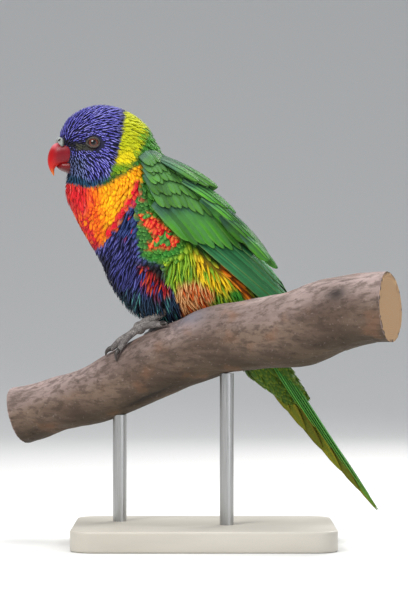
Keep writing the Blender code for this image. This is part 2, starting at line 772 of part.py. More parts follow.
def make_wing(side):
    wing = wing_core("wing_left" if side < 0 else "wing_right", side, "green_plumage")
    join(wing, [wing_vane(tier, i, side) for tier in WING_TIERS for i in range(tier[0])])
    cut(wing, [body_room()])
    keep_largest(wing)


def tail_axes():
    root = world(TAIL_ROOT[0], 0.0, TAIL_ROOT[1])
    tip = world(TAIL_TIP[0], 0.0, TAIL_TIP[1])
    along = unit(tip - root)
    lateral = np.array([-math.sin(YAW), math.cos(YAW), 0.0])
    up = np.cross(along, lateral)
    if up[2] < 0:
        up = -up
    across = lateral * math.cos(TAIL_TWIST) - up * math.sin(TAIL_TWIST)
    normal = up * math.cos(TAIL_TWIST) + lateral * math.sin(TAIL_TWIST)
    return root, along, across, normal, float(np.linalg.norm(tip - root))


def tail_half(side):
    """Directions out along one half of the tail's roof and square to it; side 1 is the far half."""
    _, _, across, normal, _ = tail_axes()
    out = side * math.cos(TAIL_SLOPE) * across - math.sin(TAIL_SLOPE) * normal
    above = math.cos(TAIL_SLOPE) * normal + side * math.sin(TAIL_SLOPE) * across
    return out, above


def tail_root_form(name, slot=None):
    last = eased(BODY, 20)
    axis = unit((last[0] - last[2], last[1] - last[3]))
    out = np.array([axis[1], -axis[0]]) * (GAP / 2)
    first = (last[0] + out[0], last[1] + out[1], last[2] + out[0], last[3] + out[1], last[4] - 0.3)
    rows = [first] + TAIL_COVERTS
    rings = [Bed(rows).ring(i / 2, sides=20) for i in range(2 * len(TAIL_COVERTS) + 1)]
    end = (np.array(rows[-1][:2]) + rows[-1][2:4]) / 2 + (5.0, -8.0)
    rings.append([world(end[0], 0.0, end[1])])
    return loft(name, rings, slot)


def tail_vane(k, side):
    root, along, _, _, _ = tail_axes()
    out, above = tail_half(side)
    length, inner, outer, tip = TAIL_FEATHERS[k]
    half = (outer - inner) / 2
    upper, under = [], []
    for u, share in TAIL_VANE_ROWS:
        start, middle = 1.6 + 0.8 * k, (inner + outer) / 2
        centre = start + (middle - start) * 2 * u if u < 0.5 else middle + (tip - middle) * (2 * u - 1)
        here = root + along * (2.0 + (length - 2.0) * u) - above * TAIL_LAYER * k
        wide = half * share * (0.6 if u == 0 else 1.0)
        upper.append([here + out * (centre + v * wide) for v in (1, 0, -1)])
        under.append([p - above * VANE_THICK for p in upper[-1]])
    return vane("vane", upper, under)


def make_tail():
    tail = tail_root_form("tail", "olive_plumage")
    join(tail, [tail_vane(k, side) for k in range(len(TAIL_FEATHERS)) for side in (-1, 1)])


def make_torso():
    torso = body_part("torso", NECK_END, 20, 0.5, "breast_plumage")
    cuts = [branch_form("room", GAP)]
    for side in FEET:
        cuts.append(shank("room", side, GAP))
    cut(torso, cuts)


def make_stand():
    wide, deep, high = BASE_SIZE
    rings = []
    for z, inset in ((0.0, 0.6), (0.6, 0.0), (high - 1.5, 0.0), (high - 0.4, 0.4), (high, 1.5)):
        ring = []
        for cx, cy, start in ((1, 1, 0), (-1, 1, 90), (-1, -1, 180), (1, -1, 270)):
            for k in range(6):
                turn = math.radians(start + 18 * k)
                radius = 14.0 - inset
                ring.append((
                    cx * (wide / 2 - 14.0) + radius * math.cos(turn),
                    cy * (deep / 2 - 14.0) + radius * math.sin(turn),
                    z,
                ))
        rings.append(ring)
    loft("stand_base", rings, "stand_base_paint")
    for i, (x, y) in enumerate(ROD_AT):
        top, _ = branch_axis(x)
        low = (x, y, high + GAP)
        rod = tube(f"stand_rod_{i + 1}", [low, (x, y, (high + top[2]) / 2), (x, y, top[2])], [ROD_RADIUS] * 3, "stand_rod_steel", 24)
        cut(rod, [branch_form("room", GAP)])


def main():
    clear_scene()
    make_head()
    upper_bill_form("bill_upper", slot="red_horn")
    lower_bill_form("bill_lower", slot="red_horn")
    body_part("neck", HEAD_END, NECK_END, 0.5, "collar_plumage")
    make_torso()
    for side in (-1, 1):
        make_wing(side)
    make_tail()
    make_legs()
    branch_form("perch_branch", 0.0, "branch_wood")
    make_stand()


main()
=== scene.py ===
"""Looks for a life-size rainbow lorikeet gripping a cut branch on a plain display stand.

Lengths are millimetres in the bird's own frame (a back along its midplane, y to its right, z up)
until a mesh is made, and pixel places (px, py) are where the left side shows from the camera.
"""

import math

import bmesh
import bpy
import numpy as np
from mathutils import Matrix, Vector, noise

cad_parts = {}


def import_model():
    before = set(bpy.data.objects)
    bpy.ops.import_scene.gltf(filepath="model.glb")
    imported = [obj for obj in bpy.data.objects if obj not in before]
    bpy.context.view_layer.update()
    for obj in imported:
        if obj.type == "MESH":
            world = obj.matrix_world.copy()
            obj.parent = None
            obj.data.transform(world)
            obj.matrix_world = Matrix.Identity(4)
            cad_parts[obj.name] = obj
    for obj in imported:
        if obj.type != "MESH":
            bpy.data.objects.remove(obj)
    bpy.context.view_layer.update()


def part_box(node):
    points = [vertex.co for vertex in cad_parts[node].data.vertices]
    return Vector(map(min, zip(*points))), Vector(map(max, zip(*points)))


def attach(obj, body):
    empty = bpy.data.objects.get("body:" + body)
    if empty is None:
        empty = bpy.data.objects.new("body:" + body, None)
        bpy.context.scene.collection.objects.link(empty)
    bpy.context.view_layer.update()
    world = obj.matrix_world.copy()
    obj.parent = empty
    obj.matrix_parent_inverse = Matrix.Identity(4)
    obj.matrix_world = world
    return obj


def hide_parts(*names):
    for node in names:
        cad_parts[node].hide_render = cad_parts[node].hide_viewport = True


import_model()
MM = 0.001
# Between the toes and the bark's mean surface.
GAP = 0.3
# How the bird is turned from the photo's plane, and about which point.
YAW = math.radians(10.0)
PIVOT_X = -31.9
PIVOT_Y = 15.0
# The photo's middle in pixels, the camera's distance and height, and millimetres to a pixel at
# the plane y = VIEW_PLANE.
PHOTO_MID = (204.0, 306.0)
VIEW_FAR = 1480.0
VIEW_HEIGHT = 137.16
VIEW_PLANE = 12.0
SCALE = 0.58
rng = np.random.default_rng(41)

# Face ring, then the body's stations: back point (a, z), belly point (a, z), half width.
BODY = np.array([
    (-84.2, 232.6, -78.0, 213.6, 5.6),
    (-83.5, 234.6, -76.6, 212.0, 6.8),
    (-81.5, 240.6, -77.4, 209.7, 7.6),
    (-77.1, 246.8, -78.3, 207.6, 9.4),
    (-70.2, 251.2, -78.9, 205.9, 12.2),
    (-62.1, 253.5, -79.2, 204.1, 14.6),
    (-53.4, 253.2, -79.5, 202.4, 16.4),
    (-45.2, 250.5, -79.5, 200.4, 17.6),
    (-37.7, 246.2, -79.2, 197.8, 18.4),
    (-31.9, 240.7, -78.3, 194.6, 19.2),
    (-27.3, 232.3, -76.8, 190.5, 20.4),
    (-22.0, 223.0, -74.2, 185.0, 21.6),
    (-15.6, 212.5, -71.3, 179.5, 22.6),
    (-7.0, 203.8, -66.1, 170.8, 23.4),
    (1.6, 195.5, -59.7, 159.8, 24.0),
    (10.6, 185.9, -52.2, 146.4, 24.2),
    (19.4, 176.2, -42.3, 135.4, 23.8),
    (28.4, 166.7, -28.4, 130.2, 22.8),
    (33.1, 155.7, -11.6, 129.0, 21.0),
    (36.0, 145.9, 2.3, 127.9, 18.6),
    (36.5, 136.6, 12.2, 124.4, 16.0),
    (35.4, 127.9, 18.6, 118.6, 13.5),
    (43.5, 115.5, 19.5, 106.0, 11.6),
    (50.0, 103.5, 24.5, 97.5, 9.2),
    (56.5, 92.5, 35.5, 89.5, 6.6),
    (62.0, 83.0, 47.5, 80.0, 4.0),
])
# The station up to which the head is a little squarer than round.
SQUARE_UNTIL = 11.0
# How deep the skin lies under the coat at each station.
COAT_DEPTH = np.array(
    [0.2, 0.7, 1.0, 1.1, 1.2, 1.2, 1.3, 1.4, 1.6, 1.9, 2.2, 2.4, 2.6] + [2.7] * 9
    + [2.2, 1.8, 1.4, 1.0]
)
# The same for the surface that the folded wings lie on.
WING_BED = np.array([
    (-31.8, 240.2, -78.3, 194.6, 20.4),
    (-27.4, 231.8, -76.8, 190.5, 21.7),
    (-22.5, 222.5, -74.2, 185.0, 22.9),
    (-14.8, 213.0, -71.3, 179.5, 23.9),
    (-5.6, 205.0, -66.1, 170.8, 24.6),
    (3.2, 197.0, -59.7, 159.8, 25.0),
    (12.2, 187.5, -52.2, 146.4, 25.2),
    (22.4, 178.1, -42.3, 135.4, 24.8),
    (31.1, 168.8, -26.7, 130.2, 23.6),
    (36.3, 163.0, -12.2, 127.9, 21.8),
    (40.3, 157.8, -0.6, 126.7, 19.6),
    (47.9, 143.3, 17.4, 129.0, 15.6),
    (55.6, 132.2, 35.4, 122.1, 11.6),
    (62.8, 122.4, 49.3, 115.7, 8.6),
    (70.8, 113.0, 63.0, 109.0, 6.4),
])
# Places (x, y, z) along the branch and its radius there.
BRANCH = np.array([
    (-116.5, 44.2, 69.7, 17.6),
    (-94.4, 35.3, 76.6, 16.4),
    (-61.2, 21.8, 86.8, 17.8),
    (-31.5, 9.8, 101.0, 19.2),
    (-7.5, 0.2, 111.6, 19.7),
    (16.1, -9.4, 119.3, 20.1),
    (50.8, -23.4, 124.0, 22.0),
    (80.9, -35.6, 134.3, 21.1),
    (110.0, -47.3, 136.9, 20.6),
])
EYE_RADIUS = 4.3
# How far from the front of an eyeball the feathers keep.
EYE_CLEARANCE = 4.75
RIGHTWARD = np.array([-math.sin(YAW), math.cos(YAW), 0.0])
# Steps in station and angle for slopes of the body's surface.
STATION_STEP = 0.03
ANGLE_STEP = 0.02
# The skin's colours against the feathers', and half a feather's width on the bake map.
SKIN_SHADE = 0.55
UV_HALF = 0.0014


def srgb(*rgb):
    """A linear colour from the usual three numbers of 0 to 255."""
    c = np.array(rgb, float) / 255.0
    return np.where(c <= 0.04045, c / 12.92, ((c + 0.055) / 1.055) ** 2.4)


def unit(v):
    """Vectors at length 1."""
    v = np.asarray(v, float)
    return v / np.maximum(np.linalg.norm(v, axis=-1, keepdims=True), 1e-12)


def smooth(low, high, x):
    """0 at low to 1 at high, with level ends."""
    f = np.clip((np.asarray(x, float) - low) / (high - low), 0.0, 1.0)
    return f * f * (3 - 2 * f)


def eased(rows, t):
    """Catmull-Rom through rows at parameters t."""
    rows = np.asarray(rows, float)
    t = np.clip(np.atleast_1d(np.asarray(t, float)), 0.0, len(rows) - 1.0)
    i = np.minimum(t.astype(int), len(rows) - 2)
    f = (t - i)[:, None]
    p1, p2 = rows[i], rows[i + 1]
    p0 = np.where((i > 0)[:, None], rows[np.maximum(i - 1, 0)], 2 * p1 - p2)
    p3 = np.where((i + 2 < len(rows))[:, None], rows[np.minimum(i + 2, len(rows) - 1)], 2 * p2 - p1)
    return p1 + 0.5 * f * (
        p2 - p0 + f * (2 * p0 - 5 * p1 + 4 * p2 - p3 + f * (3 * (p1 - p2) + p3 - p0))
    )


def spine(row):
    """Centre, direction and half height of sections from their back and belly points."""
    centre = (row[:, 0:2] + row[:, 2:4]) / 2
    axis = (row[:, 0:2] - row[:, 2:4]) / 2
    height = np.linalg.norm(axis, axis=1)
    return centre, axis / height[:, None], height


def world(a, y, z):
    """Places of the bird's own frame in the model, in millimetres."""
    a, y, z = np.broadcast_arrays(a, y, z)
    return np.stack([
        a - y * math.sin(YAW),
        PIVOT_Y + (a - PIVOT_X) * math.tan(YAW) + y * math.cos(YAW),
        z + 0.0 * a,
    ], axis=-1)


def to_px(a, y, z):
    """Where a place on either side shows in the photo's frame when seen on the left side."""
    here = world(a, -np.abs(y), z)
    near = VIEW_FAR / (VIEW_FAR + here[..., 1] - VIEW_PLANE)
    px = PHOTO_MID[0] + here[..., 0] / SCALE * near
    return px, PHOTO_MID[1] - (here[..., 2] - VIEW_HEIGHT) / SCALE * near


def seen(x, z, a, y):
    """Where what is seen at (x, z) is, as (x, z) at the depth of the left side's point at a, y."""
    depth = PIVOT_Y + (a - PIVOT_X) * math.tan(YAW) - abs(y) * math.cos(YAW)
    near = 1.0 + (depth - VIEW_PLANE) / VIEW_FAR
    return x * near, VIEW_HEIGHT + (z - VIEW_HEIGHT) * near


class Bed:
    """A lofted surface that gives places from station and angle, and finds what shows at (x, z)."""

    def __init__(self, stations, share=1.0, square_until=0.0):
        self.stations = stations
        self.share = share
        self.square_until = square_until
        self.steps = np.linspace(0, len(stations) - 1, 20 * len(stations))
        self.rows = eased(stations, self.steps)

    def own(self, t, angle, off=0.0):
        """(a, y, z) in the bird's frame; the angle runs from the back, positive on the right."""
        t, angle = np.broadcast_arrays(np.atleast_1d(np.asarray(t, float)), angle)
        row = eased(self.stations, t)
        centre, axis, height = spine(row)
        here = centre + axis * ((height + off * self.share) * np.cos(angle))[:, None]
        squared = np.clip((self.square_until - t) / 3.0, 0.0, 1.0)
        wide = np.sign(np.sin(angle)) * np.abs(np.sin(angle)) ** (1.0 - 0.22 * squared)
        return here[:, 0], (row[:, 4] + off) * wide, here[:, 1]

    def at(self, t, angle, off=0.0):
        """The same in the model, in millimetres."""
        return world(*self.own(t, angle, off))

    def frame(self, t, angle):
        """Place and normal."""
        ahead = unit(self.at(t + 0.04, angle) - self.at(t - 0.04, angle))
        around = self.at(t, angle + ANGLE_STEP) - self.at(t, angle - ANGLE_STEP)
        return self.at(t, angle), unit(np.cross(around, ahead))

    def locate(self, a, z):
        """Station and angle of the section that (a, z) lies on, in the midplane."""
        da, dz, va, vz = self.rows[:, 0], self.rows[:, 1], self.rows[:, 2], self.rows[:, 3]
        side = (da - va) * (z - vz) - (dz - vz) * (a - va)
        share = ((a - va) * (da - va) + (z - vz) * (dz - vz)) / ((da - va) ** 2 + (dz - vz) ** 2)
        crossing = np.nonzero((side[:-1] > 0) != (side[1:] > 0))[0]
        if len(crossing):
            i = crossing[np.argmin(np.abs(share[crossing] - 0.5))]
            f = side[i] / (side[i] - side[i + 1])
        else:
            i = 0 if abs(side[0]) < abs(side[-1]) else len(side) - 2
            f = 0.0 if i == 0 else 1.0
        t = self.steps[i] + f * (self.steps[i + 1] - self.steps[i])
        c = share[i] + f * (share[i + 1] - share[i])
        return t, math.acos(min(max(2 * c - 1, -1.0), 1.0))

    def find(self, x, z, least=0.05):
        """Station and angle of what shows at (x, z) on the left side."""
        a, y = x, 0.0
        for _ in range(6):
            here_x, here_z = seen(x, z, a, y)
            t, angle = self.locate(here_x - abs(y) * math.sin(YAW), here_z)
            angle = max(angle, least)
            a, y = (float(k[0]) for k in self.own(t, angle)[:2])
        return t, angle


body_bed = Bed(BODY, square_until=SQUARE_UNTIL)
wing_bed = Bed(WING_BED, 0.6)


def lateral(p):
    """How far to the right of the bird's midplane a place is."""
    return (p[..., 1] - PIVOT_Y) * math.cos(YAW) - (p[..., 0] - PIVOT_X) * math.sin(YAW)


# Mesh making from arrays.

def make_mesh(name, points, faces, mats, size=MM, mat_index=None):
    """One smooth-shaded object from points and faces that all have the same number of corners."""
    mesh = bpy.data.meshes.new(name)
    points = np.asarray(points, float) * size
    faces = np.asarray(faces)
    mesh.vertices.add(len(points))
    mesh.vertices.foreach_set("co", points.astype(np.float32).ravel())
    mesh.loops.add(faces.size)
    mesh.loops.foreach_set("vertex_index", faces.astype(np.int32).ravel())
    mesh.polygons.add(len(faces))
    mesh.polygons.foreach_set(
        "loop_start", np.arange(0, faces.size, faces.shape[1], dtype=np.int32)
    )
    mesh.update(calc_edges=True)
    mesh.polygons.foreach_set("use_smooth", np.ones(len(faces), bool))
    for m in mats if isinstance(mats, (list, tuple)) else [mats]:
        mesh.materials.append(m)
    if mat_index is not None:
        mesh.polygons.foreach_set("material_index", np.asarray(mat_index, np.int32))
    obj = bpy.data.objects.new(name, mesh)
    bpy.context.scene.collection.objects.link(obj)
    return obj


def add_point_data(obj, name, values):
    """A colour attribute with one value per vertex."""
    data = obj.data.attributes.new(name, "FLOAT_COLOR", "POINT")
    values = np.asarray(values, float)
    if values.shape[1] == 3:
        values = np.column_stack([values, np.ones(len(values))])
    data.data.foreach_set("color", values.astype(np.float32).ravel())


def vertex_at_corners(obj):
    """The vertex at each face corner."""
    index = np.empty(len(obj.data.loops), np.int32)
    obj.data.loops.foreach_get("vertex_index", index)
    return index


def add_uv(obj, corner_places):
    """The bake map from one place per face corner."""
    layer = obj.data.uv_layers.new(name="OFBake")
    layer.data.foreach_set("uv", np.asarray(corner_places, np.float32).ravel())


def on_map(share):
    """A share of the bake map's width or height, kept off its rim."""
    return share * 0.98 + 0.01


def loft_faces(rows, around):
    """Quads of a grid whose rows close on themselves."""
    i, j = np.meshgrid(np.arange(rows - 1), np.arange(around), indexing="ij")
    k = (j + 1) % around
    return np.stack(
        [i * around + j, i * around + k, (i + 1) * around + k, (i + 1) * around + j], axis=-1
    ).reshape(-1, 4)


def capped_faces(rows, around):
    """Triangles of such a grid and of the fans to its two end points, which come after the grid."""
    faces = loft_faces(rows, around)
    j = np.arange(around)
    k = (j + 1) % around
    last = (rows - 1) * around
    return np.vstack([
        faces[:, [0, 1, 2]],
        faces[:, [0, 2, 3]],
        np.column_stack([k, j, np.full(around, rows * around)]),
        np.column_stack([last + j, last + k, np.full(around, rows * around + 1)]),
    ])


def outward(obj):
    """Turns all faces outwards."""
    bm = bmesh.new()
    bm.from_mesh(obj.data)
    bmesh.ops.recalc_face_normals(bm, faces=bm.faces)
    bm.to_mesh(obj.data)
    bm.free()
    return obj


def ride(obj, slot, *nodes):
    """Puts a visible piece on the part's one body, in place of its solids."""
    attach(obj, "root")
    if nodes:
        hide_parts(*nodes)
    return obj


def dress(obj, material):
    """Gives an object one material."""
    obj.data.materials.clear()
    obj.data.materials.append(material)


def ball(name, radius, place, look, detail, reshape, material, slot, *nodes):
    """A sphere that faces one way, reshaped along its own axes first."""
    bpy.ops.object.select_all(action="DESELECT")
    turn = Vector(look).to_track_quat("Z", "Y").to_euler()
    bpy.ops.mesh.primitive_uv_sphere_add(
        segments=detail[0], ring_count=detail[1], radius=radius * MM, location=place * MM,
        rotation=turn
    )
    obj = bpy.context.object
    obj.name = name
    for vertex in obj.data.vertices:
        reshape(vertex.co)
    bpy.ops.object.transform_apply(location=True, rotation=True, scale=True)
    bpy.ops.object.shade_smooth()
    dress(obj, material)
    return ride(obj, slot, *nodes)


# Materials.

class Nodes:
    """Short ways to wire a material."""

    def __init__(self, name, roughness=0.6, **sockets):
        self.material = bpy.data.materials.new(name)
        self.material.use_nodes = True
        self.tree = self.material.node_tree
        self.shader = self.tree.nodes["Principled BSDF"]
        self.shader.inputs["Roughness"].default_value = roughness
        for key, value in sockets.items():
            self.shader.inputs[key.replace("_", " ")].default_value = value

    def add(self, kind, **settings):
        node = self.tree.nodes.new(kind)
        for key, value in settings.items():
            setattr(node, key, value)
        return node

    def link(self, source, target):
        self.tree.links.new(source, target)

    def put(self, target, value):
        if isinstance(value, bpy.types.NodeSocket):
            self.link(value, target)
        elif isinstance(value, (tuple, list, np.ndarray)):
            value = list(map(float, value))
            if len(value) == 3 and len(target.default_value) == 4:
                value.append(1.0)
            target.default_value = value
        else:
            target.default_value = value

    def place(self, scale=(1, 1, 1), turn=(0, 0, 0)):
        mapping = self.add("ShaderNodeMapping")
        mapping.inputs["Scale"].default_value = scale
        mapping.inputs["Rotation"].default_value = turn
        self.link(self.coords(), mapping.inputs["Vector"])
        return mapping.outputs["Vector"]

    def noise(self, scale, detail=4.0, rough=0.55, where=None, distortion=0.0):
        node = self.add("ShaderNodeTexNoise")
        node.inputs["Scale"].default_value = scale
        node.inputs["Detail"].default_value = detail
        node.inputs["Roughness"].default_value = rough
        node.inputs["Distortion"].default_value = distortion
        self.link(where or self.place(), node.inputs["Vector"])
        return node.outputs["Fac"]

    def maths(self, operation, a, b=0.0, c=0.0, clamp=False):
        node = self.add("ShaderNodeMath", operation=operation, use_clamp=clamp)
        for socket, value in zip(node.inputs, (a, b, c)):
            self.put(socket, value)
        return node.outputs[0]

    def ramp(self, fac, low, high, to_low=0.0, to_high=1.0):
        node = self.add("ShaderNodeMapRange", interpolation_type="SMOOTHSTEP")
        for key, value in (
            ("Value", fac), ("From Min", low), ("From Max", high), ("To Min", to_low),
            ("To Max", to_high)
        ):
            self.put(node.inputs[key], value)
        return node.outputs["Result"]

    def mix(self, fac, a, b, blend="MIX"):
        node = self.add("ShaderNodeMix", data_type="RGBA", blend_type=blend)
        self.put(node.inputs[0], fac)
        self.put(node.inputs[6], a)
        self.put(node.inputs[7], b)
        return node.outputs[2]

    def fade(self, source, low, high, a, b):
        """From a to b as a source goes from low to high."""
        return self.mix(self.ramp(source, low, high), a, b)

    def stain(self, colour, source, low, high, weight, tint):
        """A tint laid over a colour where a source is high."""
        return self.mix(self.maths("MULTIPLY", self.ramp(source, low, high), weight), colour, tint)

    def shaded(self, colour, source, gain, base):
        """A colour made lighter and darker by a source."""
        return self.mix(1.0, colour, self.maths("MULTIPLY_ADD", source, gain, base), "MULTIPLY")

    def attribute(self, name):
        return self.add("ShaderNodeAttribute", attribute_name=name)

    def parts(self, source, kind="Color"):
        """The three numbers of a colour or a place."""
        node = self.add(f"ShaderNodeSeparate{kind}")
        self.link(source, node.inputs[0])
        return node.outputs[0], node.outputs[1], node.outputs[2]

    def coords(self):
        """Places in the object, in metres."""
        return self.add("ShaderNodeTexCoord").outputs["Object"]

    def bump(self, height, strength=0.3, distance=0.0005, normal=None):
        node = self.add("ShaderNodeBump")
        node.inputs["Strength"].default_value = strength
        node.inputs["Distance"].default_value = distance
        self.link(height, node.inputs["Height"])
        if normal is not None:
            self.link(normal, node.inputs["Normal"])
        return node.outputs["Normal"]

    def finish(self, colour, normal=None, roughness=None):
        self.put(self.shader.inputs["Base Color"], colour)
        if normal is not None:
            self.link(normal, self.shader.inputs["Normal"])
        if roughness is not None:
            self.link(roughness, self.shader.inputs["Roughness"])
        return self.material


def plumage_material(
    name, barbs=26.0, roughness=0.62, barb_strength=0.25, root_shade=0.45, contrast=0.16
):
    """Base hue, a mark on quill or edge, barbs and a darker hidden root."""
    n = Nodes(name, roughness)
    n.shader.inputs["Specular IOR Level"].default_value = 0.22
    hue = n.attribute("hue")
    mark = n.attribute("mark")
    along, across, chance = n.parts(n.attribute("lie").outputs["Color"])
    streak = n.maths("MULTIPLY", n.ramp(across, 0.55, 0.14), n.ramp(along, 0.2, 0.5))
    edge = n.maths("MAXIMUM", n.ramp(across, 0.62, 0.96), n.ramp(along, 0.84, 0.98))
    edge = n.maths("MULTIPLY", edge, 0.85)
    kind = n.ramp(mark.outputs["Alpha"], 0.3, 0.7)
    node = n.add("ShaderNodeMix", data_type="FLOAT")
    n.put(node.inputs[0], kind)
    n.put(node.inputs[2], streak)
    n.put(node.inputs[3], edge)
    colour = n.mix(node.outputs[0], hue.outputs["Color"], mark.outputs["Color"])
    phase = n.maths("ADD", along, n.maths("MULTIPLY", across, -0.45))
    lines = n.ramp(n.maths("SINE", n.maths("MULTIPLY", phase, barbs * 6.283)), -1.0, 1.0)
    shade = n.maths("MULTIPLY_ADD", lines, contrast, 1.0 - contrast * 0.6)
    shade = n.maths("MULTIPLY", shade, n.ramp(along, 0.0, 0.45, root_shade, 1.0))
    shade = n.maths("MULTIPLY", shade, n.maths("MULTIPLY_ADD", chance, 0.3, 0.86))
    cloud = n.noise(260.0, 3.0)
    shade = n.maths("MULTIPLY", shade, n.maths("MULTIPLY_ADD", cloud, 0.4, 0.7))
    colour = n.mix(1.0, colour, shade, "MULTIPLY")
    quill = n.ramp(across, 0.1, 0.02)
    height = n.maths("ADD", n.maths("MULTIPLY", lines, 0.5), quill)
    return n.finish(colour, n.bump(height, barb_strength, 0.0002))


def skin_material():
    n = Nodes("coat_underskin", 0.8)
    hue = n.attribute("hue")
    down = n.noise(900.0, 5.0)
    colour = n.shaded(hue.outputs["Color"], down, 0.6, 0.35)
    return n.finish(colour, n.bump(down, 0.6, 0.0006))


def bill_material(upper=True):
    n = Nodes("upper_bill_horn" if upper else "lower_bill_horn", 0.3)
    n.shader.inputs["Specular IOR Level"].default_value = 0.3
    n.shader.inputs["Coat Weight"].default_value = 0.08
    n.shader.inputs["Coat Roughness"].default_value = 0.3
    x, _, z = n.parts(n.coords(), "XYZ")
    grain = n.noise(420.0, 5.0, where=n.place((1, 1, 0.35)))
    broad = n.noise(90.0, 2.0)
    if upper:
        tip = n.ramp(z, 0.2175, 0.2125)
        front = n.ramp(x, -0.0825, -0.0895)
        colour = n.mix(front, srgb(128, 0, 22), srgb(182, 4, 6))
        colour = n.fade(z, 0.222, 0.2155, colour, srgb(200, 26, 4))
        colour = n.mix(tip, colour, srgb(240, 130, 44))
        # Painted highlight: a pale pink sheen on top of the upper bill near the cere.
        culmen_highlight = n.maths("MULTIPLY", n.ramp(z, 0.2262, 0.2312), n.ramp(x, -0.0825, -0.0865))
        colour = n.mix(n.maths("MULTIPLY", culmen_highlight, 0.65), colour, srgb(240, 150, 160))
    else:
        colour = n.fade(z, 0.2135, 0.2185, srgb(84, 0, 6), srgb(112, 4, 8))
    colour = n.stain(colour, broad, 0.4, 0.75, 0.35, srgb(95, 0, 14))
    colour = n.shaded(colour, grain, 0.3, 0.86)
    rough = n.ramp(grain, 0.3, 0.8, 0.36, 0.52)
    return n.finish(colour, n.bump(grain, 0.12, 0.0003), rough)


def cere_material():
    n = Nodes("cere_skin", 0.55)
    grain = n.noise(700.0, 5.0)
    spots = n.noise(240.0, 2.0)
    colour = n.fade(spots, 0.42, 0.65, srgb(158, 164, 162), srgb(112, 118, 108))
    x = n.parts(n.coords(), "XYZ")[0]
    colour = n.fade(x, -0.0828, -0.0802, colour, srgb(52, 56, 44))
    return n.finish(colour, n.bump(grain, 0.35, 0.0003))


def lid_material():
    n = Nodes("eyelid_skin", 0.6)
    grain = n.noise(900.0, 4.0)
    colour = n.fade(grain, 0.4, 0.7, srgb(30, 26, 22), srgb(78, 66, 52))
    return n.finish(colour, n.bump(grain, 0.4, 0.0003))


def eye_material(centre, out):
    n = Nodes("eye_surface", 0.12)
    n.shader.inputs["Specular IOR Level"].default_value = 0.3
    n.shader.inputs["Coat Weight"].default_value = 0.5
    n.shader.inputs["Coat Roughness"].default_value = 0.02
    away = n.add("ShaderNodeVectorMath", operation="SUBTRACT")
    n.link(n.coords(), away.inputs[0])
    away.inputs[1].default_value = list(np.asarray(centre) * MM)
    side = n.add("ShaderNodeVectorMath", operation="DOT_PRODUCT")
    n.link(away.outputs[0], side.inputs[0])
    side.inputs[1].default_value = list(map(float, out))
    level = n.maths("DIVIDE", side.outputs["Value"], EYE_RADIUS * MM)
    streaks = n.noise(1500.0, 3.0)
    iris = n.fade(streaks, 0.3, 0.7, srgb(64, 24, 18), srgb(112, 50, 30))
    iris = n.fade(level, 0.74, 0.82, srgb(30, 12, 10), iris)
    colour = n.fade(level, 0.935, 0.955, iris, (0.002, 0.002, 0.002))
    return n.finish(colour)


def foot_material():
    n = Nodes("foot_scales", 0.6)
    cells = n.add("ShaderNodeTexVoronoi", feature="DISTANCE_TO_EDGE")
    cells.inputs["Scale"].default_value = 950.0
    n.link(n.place(), cells.inputs["Vector"])
    scale = n.ramp(cells.outputs["Distance"], 0.0, 0.12)
    tone = n.noise(300.0, 3.0)
    colour = n.fade(tone, 0.35, 0.7, srgb(112, 106, 104), srgb(150, 144, 140))
    colour = n.mix(
        n.maths("MULTIPLY", n.maths("SUBTRACT", 1.0, scale), 0.75), colour, srgb(52, 48, 48)
    )
    return n.finish(colour, n.bump(scale, 0.6, 0.0003))


def claw_material():
    n = Nodes("claw_horn", 0.35)
    grain = n.noise(500.0, 4.0)
    colour = n.mix(grain, srgb(24, 20, 20), srgb(70, 62, 58))
    return n.finish(colour, n.bump(grain, 0.15, 0.0002))


def bark_material():
    n = Nodes("branch_bark", 0.85)
    up, knot, crack = n.parts(n.attribute("bark").outputs["Color"])
    turn = (0.0, math.radians(17.0), math.radians(22.0))
    flow = n.place((0.35, 1.0, 1.0), turn)
    broad = n.noise(38.0, 4.0, where=flow)
    fibre = n.noise(340.0, 8.0, 0.68, where=n.place((0.22, 1.0, 1.0), turn))
    fine = n.noise(1300.0, 5.0, 0.6)
    # Painted light and shade: the bark is paler on top and darker underneath, by how far a place
    # faces up (the first channel, up).
    top = n.fade(broad, 0.36, 0.66, srgb(122, 104, 98), srgb(168, 148, 144))
    mid = n.fade(broad, 0.36, 0.66, srgb(84, 66, 54), srgb(118, 98, 84))
    low = n.fade(broad, 0.36, 0.66, srgb(48, 38, 22), srgb(78, 62, 44))
    colour = n.fade(up, 0.45, 0.86, mid, top)
    colour = n.fade(up, 0.42, 0.08, colour, low)
    colour = n.stain(colour, fibre, 0.55, 0.4, 0.55, srgb(58, 44, 34))
    spots = n.noise(620.0, 2.0)
    colour = n.stain(colour, spots, 0.63, 0.72, 0.18, srgb(176, 162, 154))
    dark = n.noise(210.0, 3.0)
    colour = n.stain(colour, dark, 0.6, 0.72, 0.45, srgb(60, 46, 36))
    warm = n.noise(55.0, 2.0)
    colour = n.stain(colour, warm, 0.55, 0.75, 0.35, srgb(140, 96, 66))
    colour = n.mix(n.maths("MULTIPLY", knot, 0.75), colour, srgb(112, 112, 124))
    colour = n.mix(crack, colour, srgb(26, 18, 14))
    height = n.maths("ADD", n.maths("MULTIPLY", fibre, 0.8), n.maths("MULTIPLY", fine, 0.35))
    return n.finish(colour, n.bump(height, 0.75, 0.0011))


def sawn_material():
    n = Nodes("branch_sawn_end", 0.75)
    radius = n.parts(n.attribute("bark").outputs["Color"])[0]
    wobble = n.noise(160.0, 3.0)
    rings = n.maths(
        "SINE", n.maths("MULTIPLY", n.maths("ADD", radius, n.maths("MULTIPLY", wobble, 0.05)), 95.0)
    )
    grain = n.noise(900.0, 4.0)
    colour = n.fade(rings, -0.6, 0.9, srgb(196, 160, 118), srgb(150, 112, 76))
    colour = n.fade(radius, 0.9, 0.96, colour, srgb(70, 52, 40))
    colour = n.shaded(colour, grain, 0.4, 0.78)
    return n.finish(colour, n.bump(grain, 0.3, 0.0004))


